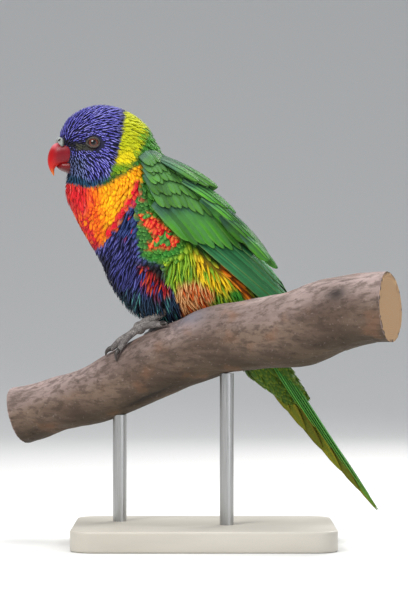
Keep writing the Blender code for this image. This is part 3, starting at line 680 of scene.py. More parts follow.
def base_material():
    n = Nodes("stand_base_lacquer", 0.42)
    grain = n.noise(260.0, 6.0, 0.6, where=n.place((0.12, 1.0, 1.0)))
    broad = n.noise(14.0, 3.0, where=n.place((0.3, 1.0, 1.0)))
    colour = n.fade(broad, 0.35, 0.7, srgb(192, 186, 174), srgb(206, 200, 189))
    colour = n.shaded(colour, grain, 0.12, 0.92)
    return n.finish(colour, n.bump(grain, 0.08, 0.0003), n.ramp(grain, 0.3, 0.8, 0.36, 0.52))


def rod_material():
    n = Nodes("stand_rod_brushed", 0.32)
    n.shader.inputs["Metallic"].default_value = 1.0
    lines = n.noise(1400.0, 4.0, where=n.place((1.0, 1.0, 0.03)))
    colour = n.mix(lines, srgb(150, 150, 150), srgb(205, 205, 203))
    return n.finish(colour, n.bump(lines, 0.1, 0.0001), n.ramp(lines, 0.2, 0.9, 0.26, 0.42))


def floor_material():
    n = Nodes("studio_floor", 0.9)
    return n.finish((0.78, 0.78, 0.77))


# Markings of the coat, the same for skin and feathers, from where a place shows on the left side.

def patch(px, py, ring, soft):
    """1 inside a ring of pixel places and 0 outside, eased over a soft edge."""
    ring = np.asarray(ring, float)
    nxt = np.roll(ring, -1, axis=0)
    p = np.stack([px, py], axis=-1)
    best = np.full(len(px), 1e9)
    inside = np.zeros(len(px), bool)
    for a, b in zip(ring, nxt):
        ab = b - a
        f = np.clip(((p - a) @ ab) / max(ab @ ab, 1e-9), 0, 1)
        best = np.minimum(best, np.linalg.norm(p - (a + f[:, None] * ab), axis=1))
        cross = (a[1] > py) != (b[1] > py)
        at = a[0] + (py - a[1]) * (b[0] - a[0]) / (b[1] - a[1] if b[1] != a[1] else 1e-9)
        inside ^= cross & (px < at)
    signed = np.where(inside, best, -best)
    return smooth(-soft, soft, signed)


def near_line(px, py, line, width):
    """1 along a line of pixel places, fading to 0 at its width."""
    p = np.stack([px, py], axis=-1)
    best = np.full(len(px), 1e9)
    for a, b in zip(np.asarray(line[:-1], float), np.asarray(line[1:], float)):
        ab = b - a
        f = np.clip(((p - a) @ ab) / max(ab @ ab, 1e-9), 0, 1)
        best = np.minimum(best, np.linalg.norm(p - (a + f[:, None] * ab), axis=1))
    return smooth(width, width * 0.35, best)


HOOD = [
    (30, 90), (125.5, 90), (126, 112), (124.8, 126), (120.3, 148), (114.8, 165), (109.3, 178.4),
    (101, 185.0), (93, 188.6), (81, 188), (71, 185), (50, 186)
]
COLLAR = [
    (124, 95), (150, 117), (150.5, 129), (143.5, 146), (136.5, 160), (128, 170), (118, 174),
    (108, 178), (112, 166), (118, 148), (122, 126)
]
BREAST = [
    (40, 185), (71, 186), (81, 189), (93, 189.6), (102, 186), (110, 180.5), (126, 173), (141, 165),
    (143.5, 172), (142.5, 182), (139, 190), (132.3, 206), (122.5, 216), (116.3, 228.4),
    (110, 234.6), (102, 243.6), (98.4, 248), (92, 252), (50, 250)
]
BREAST_EDGE = [(139.5, 184), (135, 196), (128, 208), (119.5, 218), (113.5, 229), (107, 237)]
BELLY = [
    (50, 250), (92, 252), (98.4, 248), (102, 243.6), (110, 234.6), (116.3, 228.4), (122.5, 216),
    (132.3, 206), (138.5, 192), (138, 205), (137, 226), (138.6, 248), (140, 256), (150, 262),
    (162, 266), (164, 282), (174, 290), (176, 300), (182, 318), (150, 335), (110, 330), (70, 290)
]
GREEN_STRIP = [
    (138, 188), (143, 182), (150, 196), (152, 210), (143, 216), (147, 226), (147, 238), (150, 244),
    (150, 254), (141, 256), (137.5, 236), (137.5, 205)
]
FLANK_RED = [
    (138.6, 216.8), (149.3, 212.5), (162.5, 223), (182, 241), (174, 247.5), (162.7, 249.5),
    (148, 249), (146.6, 243.6), (154.6, 236.4), (147.5, 227.5), (140.4, 223)
]
GREEN_BAND = [
    (141, 253), (156.4, 255), (159, 249), (165.4, 243.6), (178, 246), (186, 248), (180, 254),
    (165, 260.5), (147.5, 262.5)
]
# Painted shadow: the near-black notch between belly, flank and thigh.
NOTCH_SHADOW = [(131, 261), (147, 264), (162, 264), (163, 284), (155, 286), (148, 272), (136, 266)]
DARK_RED = [
    (138, 268), (150, 270), (158, 280), (168, 286), (169, 294), (156, 300), (144, 292), (138, 280)
]
THIGH = [
    (162, 262), (180, 250), (188, 243), (203, 254), (226, 272), (254, 292), (264, 318), (240, 324),
    (205, 318), (180, 300), (172, 289), (163, 282)
]
THIGH_YELLOW = [(194, 251), (203, 255), (226, 272), (240, 286), (228, 294), (206, 290), (196, 272)]
TUFT = [(178, 284), (196, 280), (216, 292), (206, 312), (182, 330), (170, 326), (173, 302)]


def markings(px, py, chance, t):
    """Hue, mark colour and mark kind (0 along the quill, 1 round the edge) at each place."""
    count = len(px)
    second, third, fourth = (np.modf(chance * k)[0] for k in (7.3, 13.7, 29.1))
    px = px + (chance - 0.5) * 1.8
    py = py + (second - 0.5) * 1.8
    hue = np.tile(srgb(52, 120, 30), (count, 1))
    mark = np.tile(srgb(84, 156, 52), (count, 1))
    kind = np.ones(count)

    def lay(weight, colour, edge=None, edge_kind=None):
        """Lays a colour, and a colour and kind for the mark, over what is there."""
        nonlocal hue, mark, kind
        w = np.clip(weight, 0, 1)[:, None]
        hue = hue * (1 - w) + srgb(*colour) * w
        if edge is not None:
            mark = mark * (1 - w) + srgb(*edge) * w
        if edge_kind is not None:
            kind = kind * (1 - w[:, 0]) + edge_kind * w[:, 0]

    lay(third * 0.4, (78, 146, 48), (100, 170, 70))
    lay(smooth(0.72, 0.8, fourth) * 0.5, (34, 86, 26))
    # Thigh and tuft.
    thigh = patch(px, py, THIGH, 3)
    lay(thigh, (104, 156, 24), (150, 196, 60), 0.0)
    lay(thigh * smooth(0.5, 0.8, third), (146, 176, 16), (190, 210, 50))
    lay(thigh * smooth(0.72, 0.86, second) * 0.8, (64, 130, 34), (110, 170, 70))
    yellow = patch(px, py, THIGH_YELLOW, 5)
    lay(yellow, (236, 188, 6), (252, 220, 50))
    lay(yellow * smooth(0.7, 0.8, fourth), (120, 166, 20), (150, 190, 50))
    lay(near_line(px, py, [(226, 268), (243, 284), (252, 300)], 6), (236, 120, 16), (250, 160, 40))
    lay(near_line(px, py, [(236, 292), (246, 304)], 7), (44, 130, 34), (70, 160, 50))
    tuft = patch(px, py, TUFT, 4)
    lay(tuft, (206, 128, 64), (244, 196, 140), 0.0)
    lay(tuft * smooth(0.6, 0.72, third), (196, 74, 28), (230, 130, 60))
    # Belly.
    belly = patch(px, py, BELLY, 1.6)
    lay(belly, (20, 22, 66), (76, 78, 156), 0.0)
    lay(belly * smooth(0.6, 0.9, third), (36, 38, 98), (112, 112, 188))
    lay(belly * smooth(0.66, 0.76, second) * 0.8, (10, 10, 34), (40, 40, 92))
    slate = belly * smooth(112, 122, px) * smooth(246, 232, py)
    lay(slate * 0.8, (26, 44, 92), (52, 76, 134))
    lay(slate * smooth(0.86, 0.9, fourth), (150, 30, 60), (210, 50, 80))
    outline = np.interp(
        py, [205, 234, 251, 275, 290, 304, 325], [76, 85, 94, 104.6, 113.6, 125, 145]
    )
    lay(
        belly * smooth(250, 262, py) * smooth(10, 3, px - outline) * 0.85, (8, 10, 20), (34, 38, 66)
    )
    lay(belly * smooth(284, 304, py) * 0.85, (6, 16, 26), (34, 76, 92))
    lay(belly * smooth(284, 300, py) * smooth(0.78, 0.86, third), (20, 60, 66), (88, 156, 152))
    # Painted shadow, near black, in the notch between belly and thigh.
    lay(patch(px, py, NOTCH_SHADOW, 3), (6, 8, 10), (20, 24, 26))
    dark_red = patch(px, py, DARK_RED, 4)
    lay(dark_red * smooth(0.3, 0.5, second), (104, 8, 20), (190, 24, 34))
    lay(dark_red * smooth(0.82, 0.88, third), (180, 40, 20), (220, 90, 30))
    # Green strip, red flank with green tips and the green band under it.
    lay(patch(px, py, GREEN_STRIP, 2), (52, 112, 46), (96, 156, 70), 1.0)
    lay(
        near_line(px, py, [(140, 194), (145, 200)], 4) * smooth(0.3, 0.6, third), (200, 84, 66),
        (230, 130, 100)
    )
    lay(patch(px, py, GREEN_BAND, 2.4), (40, 116, 34), (84, 160, 60), 1.0)
    red = patch(px, py, FLANK_RED, 1.6)
    lay(red, (228, 14, 36), (255, 98, 52), 0.0)
    lay(red * smooth(0.6, 0.7, third), (240, 66, 40), (255, 130, 60))
    lay(red * smooth(0.82, 0.86, second), (64, 128, 50), (90, 160, 70))
    # Breast: red in front, orange, then yellow-orange towards the wing.
    breast = patch(px, py, BREAST, 1.2)
    lay(breast, (248, 112, 8), (236, 62, 20), 1.0)
    lay(breast * smooth(0.5, 0.8, third) * 0.7, (252, 142, 12))
    lay(breast * smooth(92, 106, px - 0.1 * (py - 190)), (255, 176, 0), (250, 138, 4))
    lay(breast * smooth(98, 112, px) * smooth(0.55, 0.8, third), (255, 200, 0))
    front = breast * smooth(94, 82, px) * smooth(224, 204, py)
    lay(front, (236, 40, 50), (170, 10, 34))
    lay(front * smooth(0.6, 0.7, third), (250, 90, 84))
    lay(
        breast * smooth(10, 4, px - outline) * smooth(0.35, 0.5, second), (226, 34, 40),
        (150, 16, 34)
    )
    lay(breast * smooth(0.8, 0.9, fourth) * smooth(104, 90, px), (214, 40, 22), (150, 20, 30))
    lay(breast * near_line(px, py, BREAST_EDGE, 5.2), (224, 10, 44), (240, 50, 60))
    lay(breast * smooth(240, 249, py), (190, 14, 34), (110, 10, 40))
    # Green under the hood, collar and hood.
    lay(
        near_line(px, py, [(103, 184), (111, 180), (123, 173), (132, 166), (140, 158)], 4.6),
        (26, 84, 28), (60, 128, 44), 1.0
    )
    collar = patch(px, py, COLLAR, 1.6)
    lay(collar, (186, 190, 0), (206, 212, 20), 1.0)
    lay(collar * smooth(0.5, 0.9, third) * 0.6, (164, 172, 0))
    lay(collar * smooth(144, 158, py), (232, 208, 0), (250, 230, 30))
    lay(collar * smooth(160, 168, py), (96, 146, 14), (130, 170, 30))
    lay(collar * smooth(138, 146, px + 0.3 * (py - 130)) * smooth(0.5, 0.7, second), (90, 150, 24))
    hood = patch(px, py, HOOD, 1.0)
    lay(hood, (14, 12, 62), (116, 112, 224), 0.0)
    lay(hood * smooth(0.45, 0.9, third), (20, 18, 84), (158, 154, 240))
    lay(hood * smooth(0.75, 0.85, second), (10, 8, 44), (88, 84, 190))
    chin = hood * smooth(96, 78, px) * smooth(150, 164, py)
    lay(chin * 0.85, (14, 22, 52), (124, 142, 186))
    lay(hood * smooth(178, 185, py + 0.25 * np.abs(px - 92)), (10, 42, 66), (36, 84, 116))
    nape = hood * smooth(
        -7, -1, px - np.interp(py, [112, 126, 148, 165, 178], [126, 124.8, 120.3, 114.8, 109.3])
    ) * smooth(168, 158, py)
    lay(nape * 0.85, (6, 6, 16), (80, 80, 130))
    lay(
        hood * near_line(px, py, [(60, 138), (74, 145), (84, 145)], 5.5) * 0.92, (4, 4, 10),
        (18, 18, 34)
    )
    lay(hood * near_line(px, py, [(79, 147.5), (92, 149)], 4.2), (70, 70, 56), (66, 66, 54))
    # Below the body: vent and tail coverts.
    vent = smooth(20.4, 21.6, t)
    lay(vent, (62, 96, 22), (110, 130, 30), 1.0)
    # Painted shadow: the vent darkened to near black beside the tail.
    lay(
        vent * smooth(258, 246, px - 0.75 * (py - 376)) * smooth(380, 366, py), (16, 28, 20),
        (34, 52, 34)
    )
    return hue, np.column_stack([mark, kind])


# The coat: small solid feathers over the skin.

def coat_depth(t):
    """How deep the skin lies under the coat at a station."""
    return np.interp(t, np.arange(len(COAT_DEPTH)), COAT_DEPTH)


def skin_place(t, angle):
    """World place on the skin, its outward normal and the millimetres to one station there."""
    depth = coat_depth(t)
    here = body_bed.at(t, angle, -depth)
    ahead = body_bed.at(t + STATION_STEP, angle, -coat_depth(t + STATION_STEP))
    ahead = ahead - body_bed.at(t - STATION_STEP, angle, -coat_depth(t - STATION_STEP))
    around = body_bed.at(t, angle + ANGLE_STEP, -depth) - body_bed.at(t, angle - ANGLE_STEP, -depth)
    return here, unit(np.cross(ahead, around)), np.linalg.norm(ahead, axis=-1) / (2 * STATION_STEP)


def girth(t, angle):
    """Millimetres round the body for each radian of the angle."""
    step = ANGLE_STEP / 2
    return np.linalg.norm(
        body_bed.at(t, angle + step) - body_bed.at(t, angle - step), axis=1
    ) / ANGLE_STEP


def scatter(spacing, first, last, tries):
    """Places (t, angle) over the body, apart by a spacing that changes from place to place."""
    t = rng.uniform(first, last, tries)
    angle = rng.uniform(-math.pi, math.pi, tries)
    here, _, rate = skin_place(t, angle)
    area = rate * girth(t, angle)
    keep = rng.uniform(0, 1, tries) < area / np.percentile(area, 97)
    t, angle, here = t[keep], angle[keep], here[keep]
    apart = spacing(t, angle, *to_px(*body_bed.own(t, angle)))
    wanted = apart > 0
    t, angle, here, apart = t[wanted], angle[wanted], here[wanted], apart[wanted]
    cells = [tuple(k) for k in np.floor(here / float(apart.max())).astype(int).tolist()]
    places = here.tolist()
    reach = (apart ** 2).tolist()
    steps = [(i, j, k) for i in (-1, 0, 1) for j in (-1, 0, 1) for k in (-1, 0, 1)]
    grid = {}
    chosen = []
    for i, (x, y, z) in enumerate(places):
        kx, ky, kz = cells[i]
        room = reach[i]
        near = [grid[key] for dx, dy, dz in steps if (key := (kx + dx, ky + dy, kz + dz)) in grid]
        if all(
            (x - p[0]) ** 2 + (y - p[1]) ** 2 + (z - p[2]) ** 2 >= room for group in near
            for p in group
        ):
            grid.setdefault((kx, ky, kz), []).append((x, y, z))
            chosen.append(i)
    return t[chosen], angle[chosen]


def feather_mesh(
    name, rows, sides, outs, calm, widths, lie_u, chance, hue, mark, root_uv, material, thick, slot,
    soft
):
    """Solid feathers from rows (n, r, 3) of places, directions (sides, outs) and half widths."""
    n, r = rows.shape[:2]
    droop = outs * (widths * 0.22)[..., None]
    left = rows - sides * widths[..., None] - droop
    right = rows + sides * widths[..., None] - droop
    depth = thick * np.minimum(1.0, widths / widths.max(axis=1, keepdims=True) + 0.15)
    under = rows - outs * depth[..., None] - droop
    points = np.stack([left, rows, right, under], axis=2)
    per = 4 * r
    faces = []
    for i in range(r - 1):
        for c in range(4):
            d = (c + 1) % 4
            a, b = 4 * i + c, 4 * i + d
            faces.append((a, a + 4, b + 4))
            faces.append((a, b + 4, b))
    faces += [(0, 1, 2), (0, 2, 3)]
    e = 4 * (r - 1)
    faces += [(e, e + 2, e + 1), (e, e + 3, e + 2)]
    all_faces = (np.array(faces)[None] + (np.arange(n) * per)[:, None, None]).reshape(-1, 3)
    obj = make_mesh(name, points.reshape(-1, 3), all_faces, material)
    u = np.repeat(lie_u[:, :, None], 4, axis=2)
    v = np.tile(np.array([1.0, 0.0, 1.0, 0.0]), (n, r, 1))
    side = np.tile(np.array([-1.0, 0.0, 1.0, 0.0]), (n, r, 1))
    c = np.broadcast_to(chance[:, None, None], u.shape)
    add_point_data(obj, "lie", np.stack([u, v, c], axis=-1).reshape(-1, 3))
    add_point_data(obj, "hue", np.repeat(hue.reshape(-1, 3), 4, axis=0))
    add_point_data(obj, "mark", np.repeat(mark.reshape(-1, 4), 4, axis=0))
    uv = root_uv[:, None, None, :] + np.stack([side * UV_HALF, (u - 0.5) * 2 * UV_HALF], axis=-1)
    add_uv(obj, uv.reshape(-1, 2)[vertex_at_corners(obj)])
    if soft > 0:
        round_off = 1.6 * (1 - soft)
        tops = unit(
            np.stack([calm - sides * round_off, calm, calm + sides * round_off, -outs], axis=2)
        ).reshape(-1, 3)
        corners = all_faces.ravel()
        flat = points.reshape(-1, 3)[all_faces]
        flat = unit(np.cross(flat[:, 1] - flat[:, 0], flat[:, 2] - flat[:, 0]))
        upper = np.zeros(len(faces), bool)
        upper[[8 * i + k for i in range(r - 1) for k in range(4)]] = True
        upper = np.tile(upper, n)[:, None]
        normals = np.where(np.repeat(upper, 3, axis=0), tops[corners], np.repeat(flat, 3, axis=0))
        obj.data.normals_split_custom_set(normals.tolist())
    return ride(obj, slot)


FEATHER_U = np.array([0.0, 0.3, 0.6, 0.84, 1.0])
ROUND_TIP = np.array([0.32, 0.86, 1.0, 0.8, 0.2])
POINTED_TIP = np.array([0.35, 0.9, 0.9, 0.55, 0.08])


def flow_turn(t, angle):
    """How far the feathers turn from straight back towards the belly, in radians."""
    from_back = np.degrees(np.abs(angle))
    front = 1 - smooth(2.6, 6.5, t)
    face = 58 * smooth(58, 108, from_back) * front - 14 * smooth(70, 40, from_back) * front
    cheek = 14 * smooth(88, 120, from_back) * smooth(2.6, 6.5, t) * (1 - smooth(9, 11, t))
    temple = -20 * smooth(3.5, 6, t) * (1 - smooth(8.5, 10.5, t))
    temple = temple * smooth(12, 30, from_back) * smooth(105, 75, from_back)
    breast = 56 * smooth(9.0, 11.0, t) * (1 - smooth(14.6, 17.5, t)) * smooth(50, 85, from_back)
    belly = 30 * smooth(14.6, 17.5, t) * (1 - smooth(19.0, 21.0, t)) * smooth(60, 90, from_back)
    fade = smooth(180, 150, from_back)
    return np.radians((face + cheek + temple + breast + belly) * fade)


def coat(name, t, angle, length, width, rise, sway, hang, material, slot, thick, shape, soft):
    """Feathers rooted in the skin, lying along the coat's flow and lifting by rise at the tip."""
    n = len(t)
    chance = rng.uniform(0, 1, n)
    turn = np.sign(angle) * flow_turn(t, angle) + sway * rng.uniform(-1, 1, n)
    dt = length / skin_place(t, angle)[2] * np.cos(turn)
    da = length / girth(t, angle) * np.sin(turn)
    u = np.tile(FEATHER_U, (n, 1))
    tt = np.clip(t[:, None] + dt[:, None] * u, 0, len(BODY) - 1)
    aa = angle[:, None] + da[:, None] * u
    place, skin_outs = (found.reshape(n, -1, 3) for found in skin_place(tt.ravel(), aa.ravel())[:2])
    lift = -0.25 + (rise[:, None] + 0.25) * u ** 0.9
    rows = place + skin_outs * lift[..., None]
    rows = rows - np.array([0, 0, 1.0]) * (hang[:, None] * u ** 2)[..., None]
    quill = unit(np.gradient(rows, axis=1))
    sides = unit(np.cross(skin_outs, quill))
    outs = unit(np.cross(quill, sides))
    keep = np.ones(n, bool)
    for side in (-1, 1):
        keep &= (np.linalg.norm(rows - eye_place(side)[0], axis=2) > EYE_CLEARANCE).all(axis=1)
    seen_at = np.clip(tt + 0.04 * dt[:, None], 0, len(BODY) - 1)
    px, py = to_px(*body_bed.own(seen_at.ravel(), aa.ravel()))
    hue, mark = markings(px, py, np.repeat(chance, len(FEATHER_U)), seen_at.ravel())
    hue, mark = hue.reshape(n, -1, 3), mark.reshape(n, -1, 4)
    root_uv = np.column_stack([on_map((angle / (2 * math.pi)) % 1.0), on_map(t / (len(BODY) - 1))])
    widths = width[:, None] * shape[None] / 2
    calm = unit(0.5 * skin_outs + 0.5 * outs)
    kept = (
        field[keep] for field in (rows, sides, outs, calm, widths, u, chance, hue, mark, root_uv)
    )
    return feather_mesh(name, *kept, material, thick, slot, soft)


def make_skin(material):
    """One closed surface under the plumage of head, neck and torso."""
    rows, around = 190, 96
    t = np.linspace(0, len(BODY) - 1, rows)
    angle = np.linspace(0, 2 * math.pi, around, endpoint=False) + math.pi / around
    tt, aa = (grid.ravel() for grid in np.meshgrid(t, angle, indexing="ij"))
    place = skin_place(tt, aa)[0]
    rings = place.reshape(rows, around, 3)
    points = np.vstack([place, [rings[0].mean(axis=0)], [rings[-1].mean(axis=0)]])
    obj = outward(make_mesh("skin", points, capped_faces(rows, around), material))
    px, py = to_px(*body_bed.own(tt, aa))
    hue = markings(px, py, np.full(len(px), 0.5), tt)[0]
    add_point_data(obj, "hue", np.vstack([hue, hue[:1], hue[-1:]]) * SKIN_SHADE)
    index = vertex_at_corners(obj)
    column = np.append(np.tile(np.arange(around), rows), [0, 0])[index].reshape(-1, 3)
    row = np.append(np.repeat(np.arange(rows), around), [0, rows - 1])[index].reshape(-1, 3)
    wide = (column.max(axis=1, keepdims=True) - column.min(axis=1, keepdims=True)) > around / 2
    column = np.where(wide & (column < around / 2), column + around, column)
    add_uv(
        obj, np.stack([on_map((column + 0.5) / (around + 1)), on_map(row / (rows - 1))], axis=-1)
    )
    return ride(obj, "breast_plumage", "head", "neck", "torso")


def eye_place(side):
    """The front of an eyeball, the way it looks and its centre; side 1 is the right."""
    low, high = (np.array(corner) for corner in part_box("eye_right" if side > 0 else "eye_left"))
    centre = (low + high) / 2 / MM
    look = unit(RIGHTWARD * side + np.array([-0.16, 0.0, 0.1]))
    return centre + look * (EYE_RADIUS - 1.0), look, centre


def eye_distance(t, angle):
    """Millimetres from the CAD surface at a place to the front of the nearer eye."""
    here = body_bed.at(t, angle)
    return np.minimum(*(np.linalg.norm(here - eye_place(side)[0], axis=1) for side in (-1, 1)))


T_KEYS = [0, 1, 3, 6, 9, 11, 14, 18, 21, 25]


def make_coat():
    """Spaces, sizes and makes the body feathers, in five pieces."""
    def spacing(t, angle, px, py):
        apart = np.interp(t, T_KEYS, [0.9, 0.95, 1.05, 1.25, 1.45, 1.75, 1.75, 1.65, 2.0, 2.0])
        hidden = (px > 152) & (t > 11.5) & (t < 21) & (np.abs(angle) < 1.2)
        apart = np.where(hidden, 3.4, apart)
        close = eye_distance(t, angle)
        apart = np.where(close < 7.5, np.minimum(apart, 0.85), apart)
        bare = (px < 70.5) & (py > 148.5) & (py < 176) & (t < 3.2)
        bare |= (px < 62.5) & (py > 140.5) & (py <= 149) & (t < 2)
        bare |= ((px - 85.5) / 5.5) ** 2 + ((py - 148.0 - 0.12 * (px - 85.5)) / 2.6) ** 2 < 1
        return np.where(bare | (close < 4.5), 0.0, apart)

    t, angle = scatter(spacing, 0.3, 24.6, 330000)
    px, py = to_px(*body_bed.own(t, angle))
    n = len(t)
    length = np.interp(t, T_KEYS, [2.0, 2.4, 3.6, 4.6, 6.2, 8.0, 8.5, 9.0, 11.0, 11.0])
    width = np.interp(t, T_KEYS, [0.95, 1.05, 1.35, 1.6, 2.1, 2.5, 2.6, 1.9, 3.8, 3.8])
    hang = np.zeros(n)
    sway = np.where(t < 9, 0.13, 0.16)
    petals = patch(px, py, [(134, 190), (152, 182), (190, 246), (184, 262), (140, 262)], 3) > 0.5
    width = np.where(petals, 4.4, width)
    length = np.where(petals, 8.5, length)
    fluffy = (patch(px, py, THIGH, 4) + patch(px, py, TUFT, 4)) > 0.5
    length = np.where(fluffy, 10.5, length)
    width = np.where(fluffy, 1.5, width)
    sway = np.where(fluffy, 0.4, sway)
    hang = np.where(fluffy, 2.2, hang)
    belly = patch(px, py, BELLY, 3) > 0.5
    length = np.where(belly, 8.5, length)
    width = np.where(belly, 1.7, width)
    low = belly & (py > 262)
    hang = np.where(low, 1.6 + 1.6 * smooth(280, 310, py), hang)
    sway = np.where(low, 0.3, sway)
    length *= rng.uniform(0.85, 1.15, n)
    width *= rng.uniform(0.88, 1.12, n)
    rise = coat_depth(t) * rng.uniform(0.8, 1.06, n) + 0.1
    throat = smooth(
        105, 150, np.degrees(np.abs(angle))
    ) * smooth(6.5, 8.5, t) * smooth(15.0, 12.5, t)
    rise *= 1 - 0.45 * throat
    close = eye_distance(t, angle)
    length = np.where(close < 8.5, length * 0.55, length)
    rise = np.where(close < 8.5, rise * 0.6, rise)
    fine = plumage_material("small_feathers", 7.0, 0.62, 0.2, 0.5)
    strands = plumage_material("loose_feathers", 5.0, 0.68, 0.15, 0.5, 0.1)
    shaggy = (belly | fluffy) & (t < 22)
    pieces = (
        ("coat_head", (t < 9.0) & ~shaggy, "navy_plumage", POINTED_TIP, fine, 0.1, 0.7),
        (
            "coat_neck", (t >= 9.0) & (t < 12.0) & ~shaggy, "collar_plumage", ROUND_TIP, fine, 0.14,
            0.6
        ),
        (
            "coat_body", (t >= 12.0) & (t < 21.5) & ~shaggy, "breast_plumage", ROUND_TIP, fine,
            0.16, 0.5
        ),
        ("coat_belly", shaggy, "breast_plumage", POINTED_TIP, strands, 0.14, 0.5),
        ("coat_vent", (t >= 21.5) & ~shaggy, "olive_plumage", ROUND_TIP, fine, 0.2, 0.4),
    )
    for name, here, slot, shape, finish, thick, soft in pieces:
        fields = (field[here] for field in (t, angle, length, width, rise, sway, hang))
        coat(name, *fields, finish, slot, thick, shape, soft)


# Large vanes of wing and tail.

def big_vane(quill, outs, rights, widths, camber, thick):
    """Points of one closed vane: a grid over and one under, with rows along the quill."""
    across = rights[:, None] * (widths[:, None, None] * VANE_V[None, :, None])
    arch = outs[:, None] * (camber * widths[:, None, None] * (0.5 - VANE_V[None, :, None] ** 2))
    top = quill[:, None] + across + arch
    return top, top - outs[:, None] * thick


def vane_faces(rows, cols):
    """Triangles of one closed vane."""
    faces = []
    half = rows * cols
    for r in range(rows - 1):
        for c in range(cols - 1):
            a = r * cols + c
            faces.append((a, a + 1, a + cols + 1))
            faces.append((a, a + cols + 1, a + cols))
            faces.append((half + a + cols + 1, half + a + 1, half + a))
            faces.append((half + a + cols, half + a + cols + 1, half + a))
    rim = list(range(cols)) + [r * cols + cols - 1 for r in range(1, rows)]
    rim += [
        (rows - 1) * cols + c for c in range(cols - 2, -1, -1)
    ] + [r * cols for r in range(rows - 2, 0, -1)]
    for a, b in zip(rim, rim[1:] + rim[:1]):
        faces.append((a, half + a, half + b))
        faces.append((a, half + b, b))
    return np.array(faces)


# Shares of a vane along its quill, and across it from its lower to its upper edge.
VANE_U = np.array([0.0, 0.12, 0.26, 0.4, 0.54, 0.67, 0.78, 0.87, 0.94, 0.98, 1.0])
VANE_V = np.linspace(1, -1, 7)


class VaneSet:
    """Gathers vanes into one mesh with their colours and bake map."""

    def __init__(self):
        self.points, self.faces, self.lie, self.hue, self.mark, self.uv = [], [], [], [], [], []
        self.count = 0

    def add(self, top, under, u, hue, mark, chance, uv):
        rows, cols = top.shape[:2]
        points = np.vstack([top.reshape(-1, 3), under.reshape(-1, 3)])
        self.faces.append(vane_faces(rows, cols) + self.count)
        self.count += len(points)
        self.points.append(points)
        uu, vv = np.meshgrid(u, VANE_V, indexing="ij")
        lie = np.stack([uu, np.abs(vv), np.full_like(uu, chance)], axis=-1).reshape(-1, 3)
        self.lie.append(np.vstack([lie, lie]))
        self.hue.append(np.vstack([hue[0].reshape(-1, 3), hue[1].reshape(-1, 3)]))
        self.mark.append(np.tile(mark, (2 * rows * cols, 1)))
        place = np.asarray(uv) + np.stack(
            [vv * UV_HALF, (uu - 0.5) * 2 * UV_HALF], axis=-1
        ).reshape(-1, 2)
        self.uv.append(np.vstack([place, place]))

    def build(self, name, material, slot, *nodes):
        obj = make_mesh(name, np.vstack(self.points), np.vstack(self.faces), material)
        outward(obj)
        add_point_data(obj, "lie", np.vstack(self.lie))
        add_point_data(obj, "hue", np.vstack(self.hue))
        add_point_data(obj, "mark", np.vstack(self.mark))
        add_uv(obj, np.vstack(self.uv)[vertex_at_corners(obj)])
        return ride(obj, slot, *nodes)


def between(three, f):
    """A curve through three places, the first at 0 and the last at 1."""
    p, q, r = (np.array(point, float) for point in three)
    return p * (1 - f) * (1 - 2 * f) + q * 4 * f * (1 - f) + r * f * (2 * f - 1)


# Count, roots and tips (x, z) at first, middle and last, half width, height at root and tip, tilt
# and bow.
WING_TIERS = {
    "primary": (
        8, [(-4.6, 175.4), (1.2, 180.1), (10.4, 185.9)],
        [(62.6, 115.7), (60.3, 127.9), (52.2, 141.2)], 2.9, (1.7, 1.5), 0.6, 1.2
    ),
    "secondary": (
        9, [(-30.2, 196.2), (-16.2, 200.8), (8.1, 196.0)],
        [(-8.7, 173.7), (10.4, 169.6), (34.2, 165.6)], 4.0, (2.0, 3.2), 0.6, 0.9
    ),
    "greater": (
        10, [(-33.0, 209.0), (-22.0, 212.0), (-2.0, 205.0)],
        [(-23.0, 193.5), (-9.0, 191.5), (13.0, 183.5)], 3.3, (1.9, 3.9), 0.45, 0.4
    ),
    "median": (
        11, [(-34.5, 213.0), (-24.5, 216.5), (-8.0, 211.0)],
        [(-26.6, 200.5), (-14.5, 199.5), (3.5, 193.5)], 2.9, (1.7, 4.5), 0.4, 0.3
    ),
    "lesser": (
        11, [(-35.4, 217.0), (-27.0, 220.5), (-13.5, 216.0)],
        [(-28.6, 207.0), (-18.6, 206.6), (-3.5, 201.5)], 2.7, (0.6, 4.8), 0.35, 0.3
    ),
    "shoulder": (
        10, [(-36.0, 220.5), (-29.5, 224.0), (-18.5, 220.5)],
        [(-30.6, 212.4), (-23.0, 212.6), (-9.8, 208.8)], 2.5, (-0.8, 4.5), 0.3, 0.2
    ),
    "marginal": (
        9, [(-37.0, 225.0), (-31.5, 228.0), (-22.0, 226.0)],
        [(-32.4, 217.6), (-26.4, 218.6), (-15.0, 215.2)], 2.3, (-1.4, 3.4), 0.2, 0.2
    ),
}
# Widths along a vane, as shares of its widest.
VANE_ENDS = (
    [0, 0.12, 0.4, 0.67, 0.78, 0.87, 0.94, 0.98, 1.0],
    [0.45, 0.68, 0.97, 1.0, 0.95, 0.8, 0.56, 0.33, 0.1]
)
PRIMARY_ENDS = ([0, 0.2, 0.6, 0.87, 0.94, 0.98, 1.0], [0.6, 0.9, 1.0, 0.72, 0.5, 0.3, 0.1])
TAIL_ENDS = ([0, 0.25, 0.5, 0.75, 0.9, 0.97, 1.0], [0.35, 0.9, 1.0, 0.85, 0.55, 0.25, 0.05])


def quill_mark(hue):
    """Colour of the line along the quill, from the vane's own colours."""
    return np.array([*(hue.reshape(-1, 3).mean(axis=0) * 1.25), 0.0])


def plain_hue(shape, colour):
    """One colour over a grid."""
    return np.ones(shape + (3,)) * srgb(*colour)


def blended(base, weight, colour):
    """Base colours with one colour laid over them by weight."""
    w = np.clip(weight, 0, 1)[..., None]
    return base * (1 - w) + srgb(*colour) * w


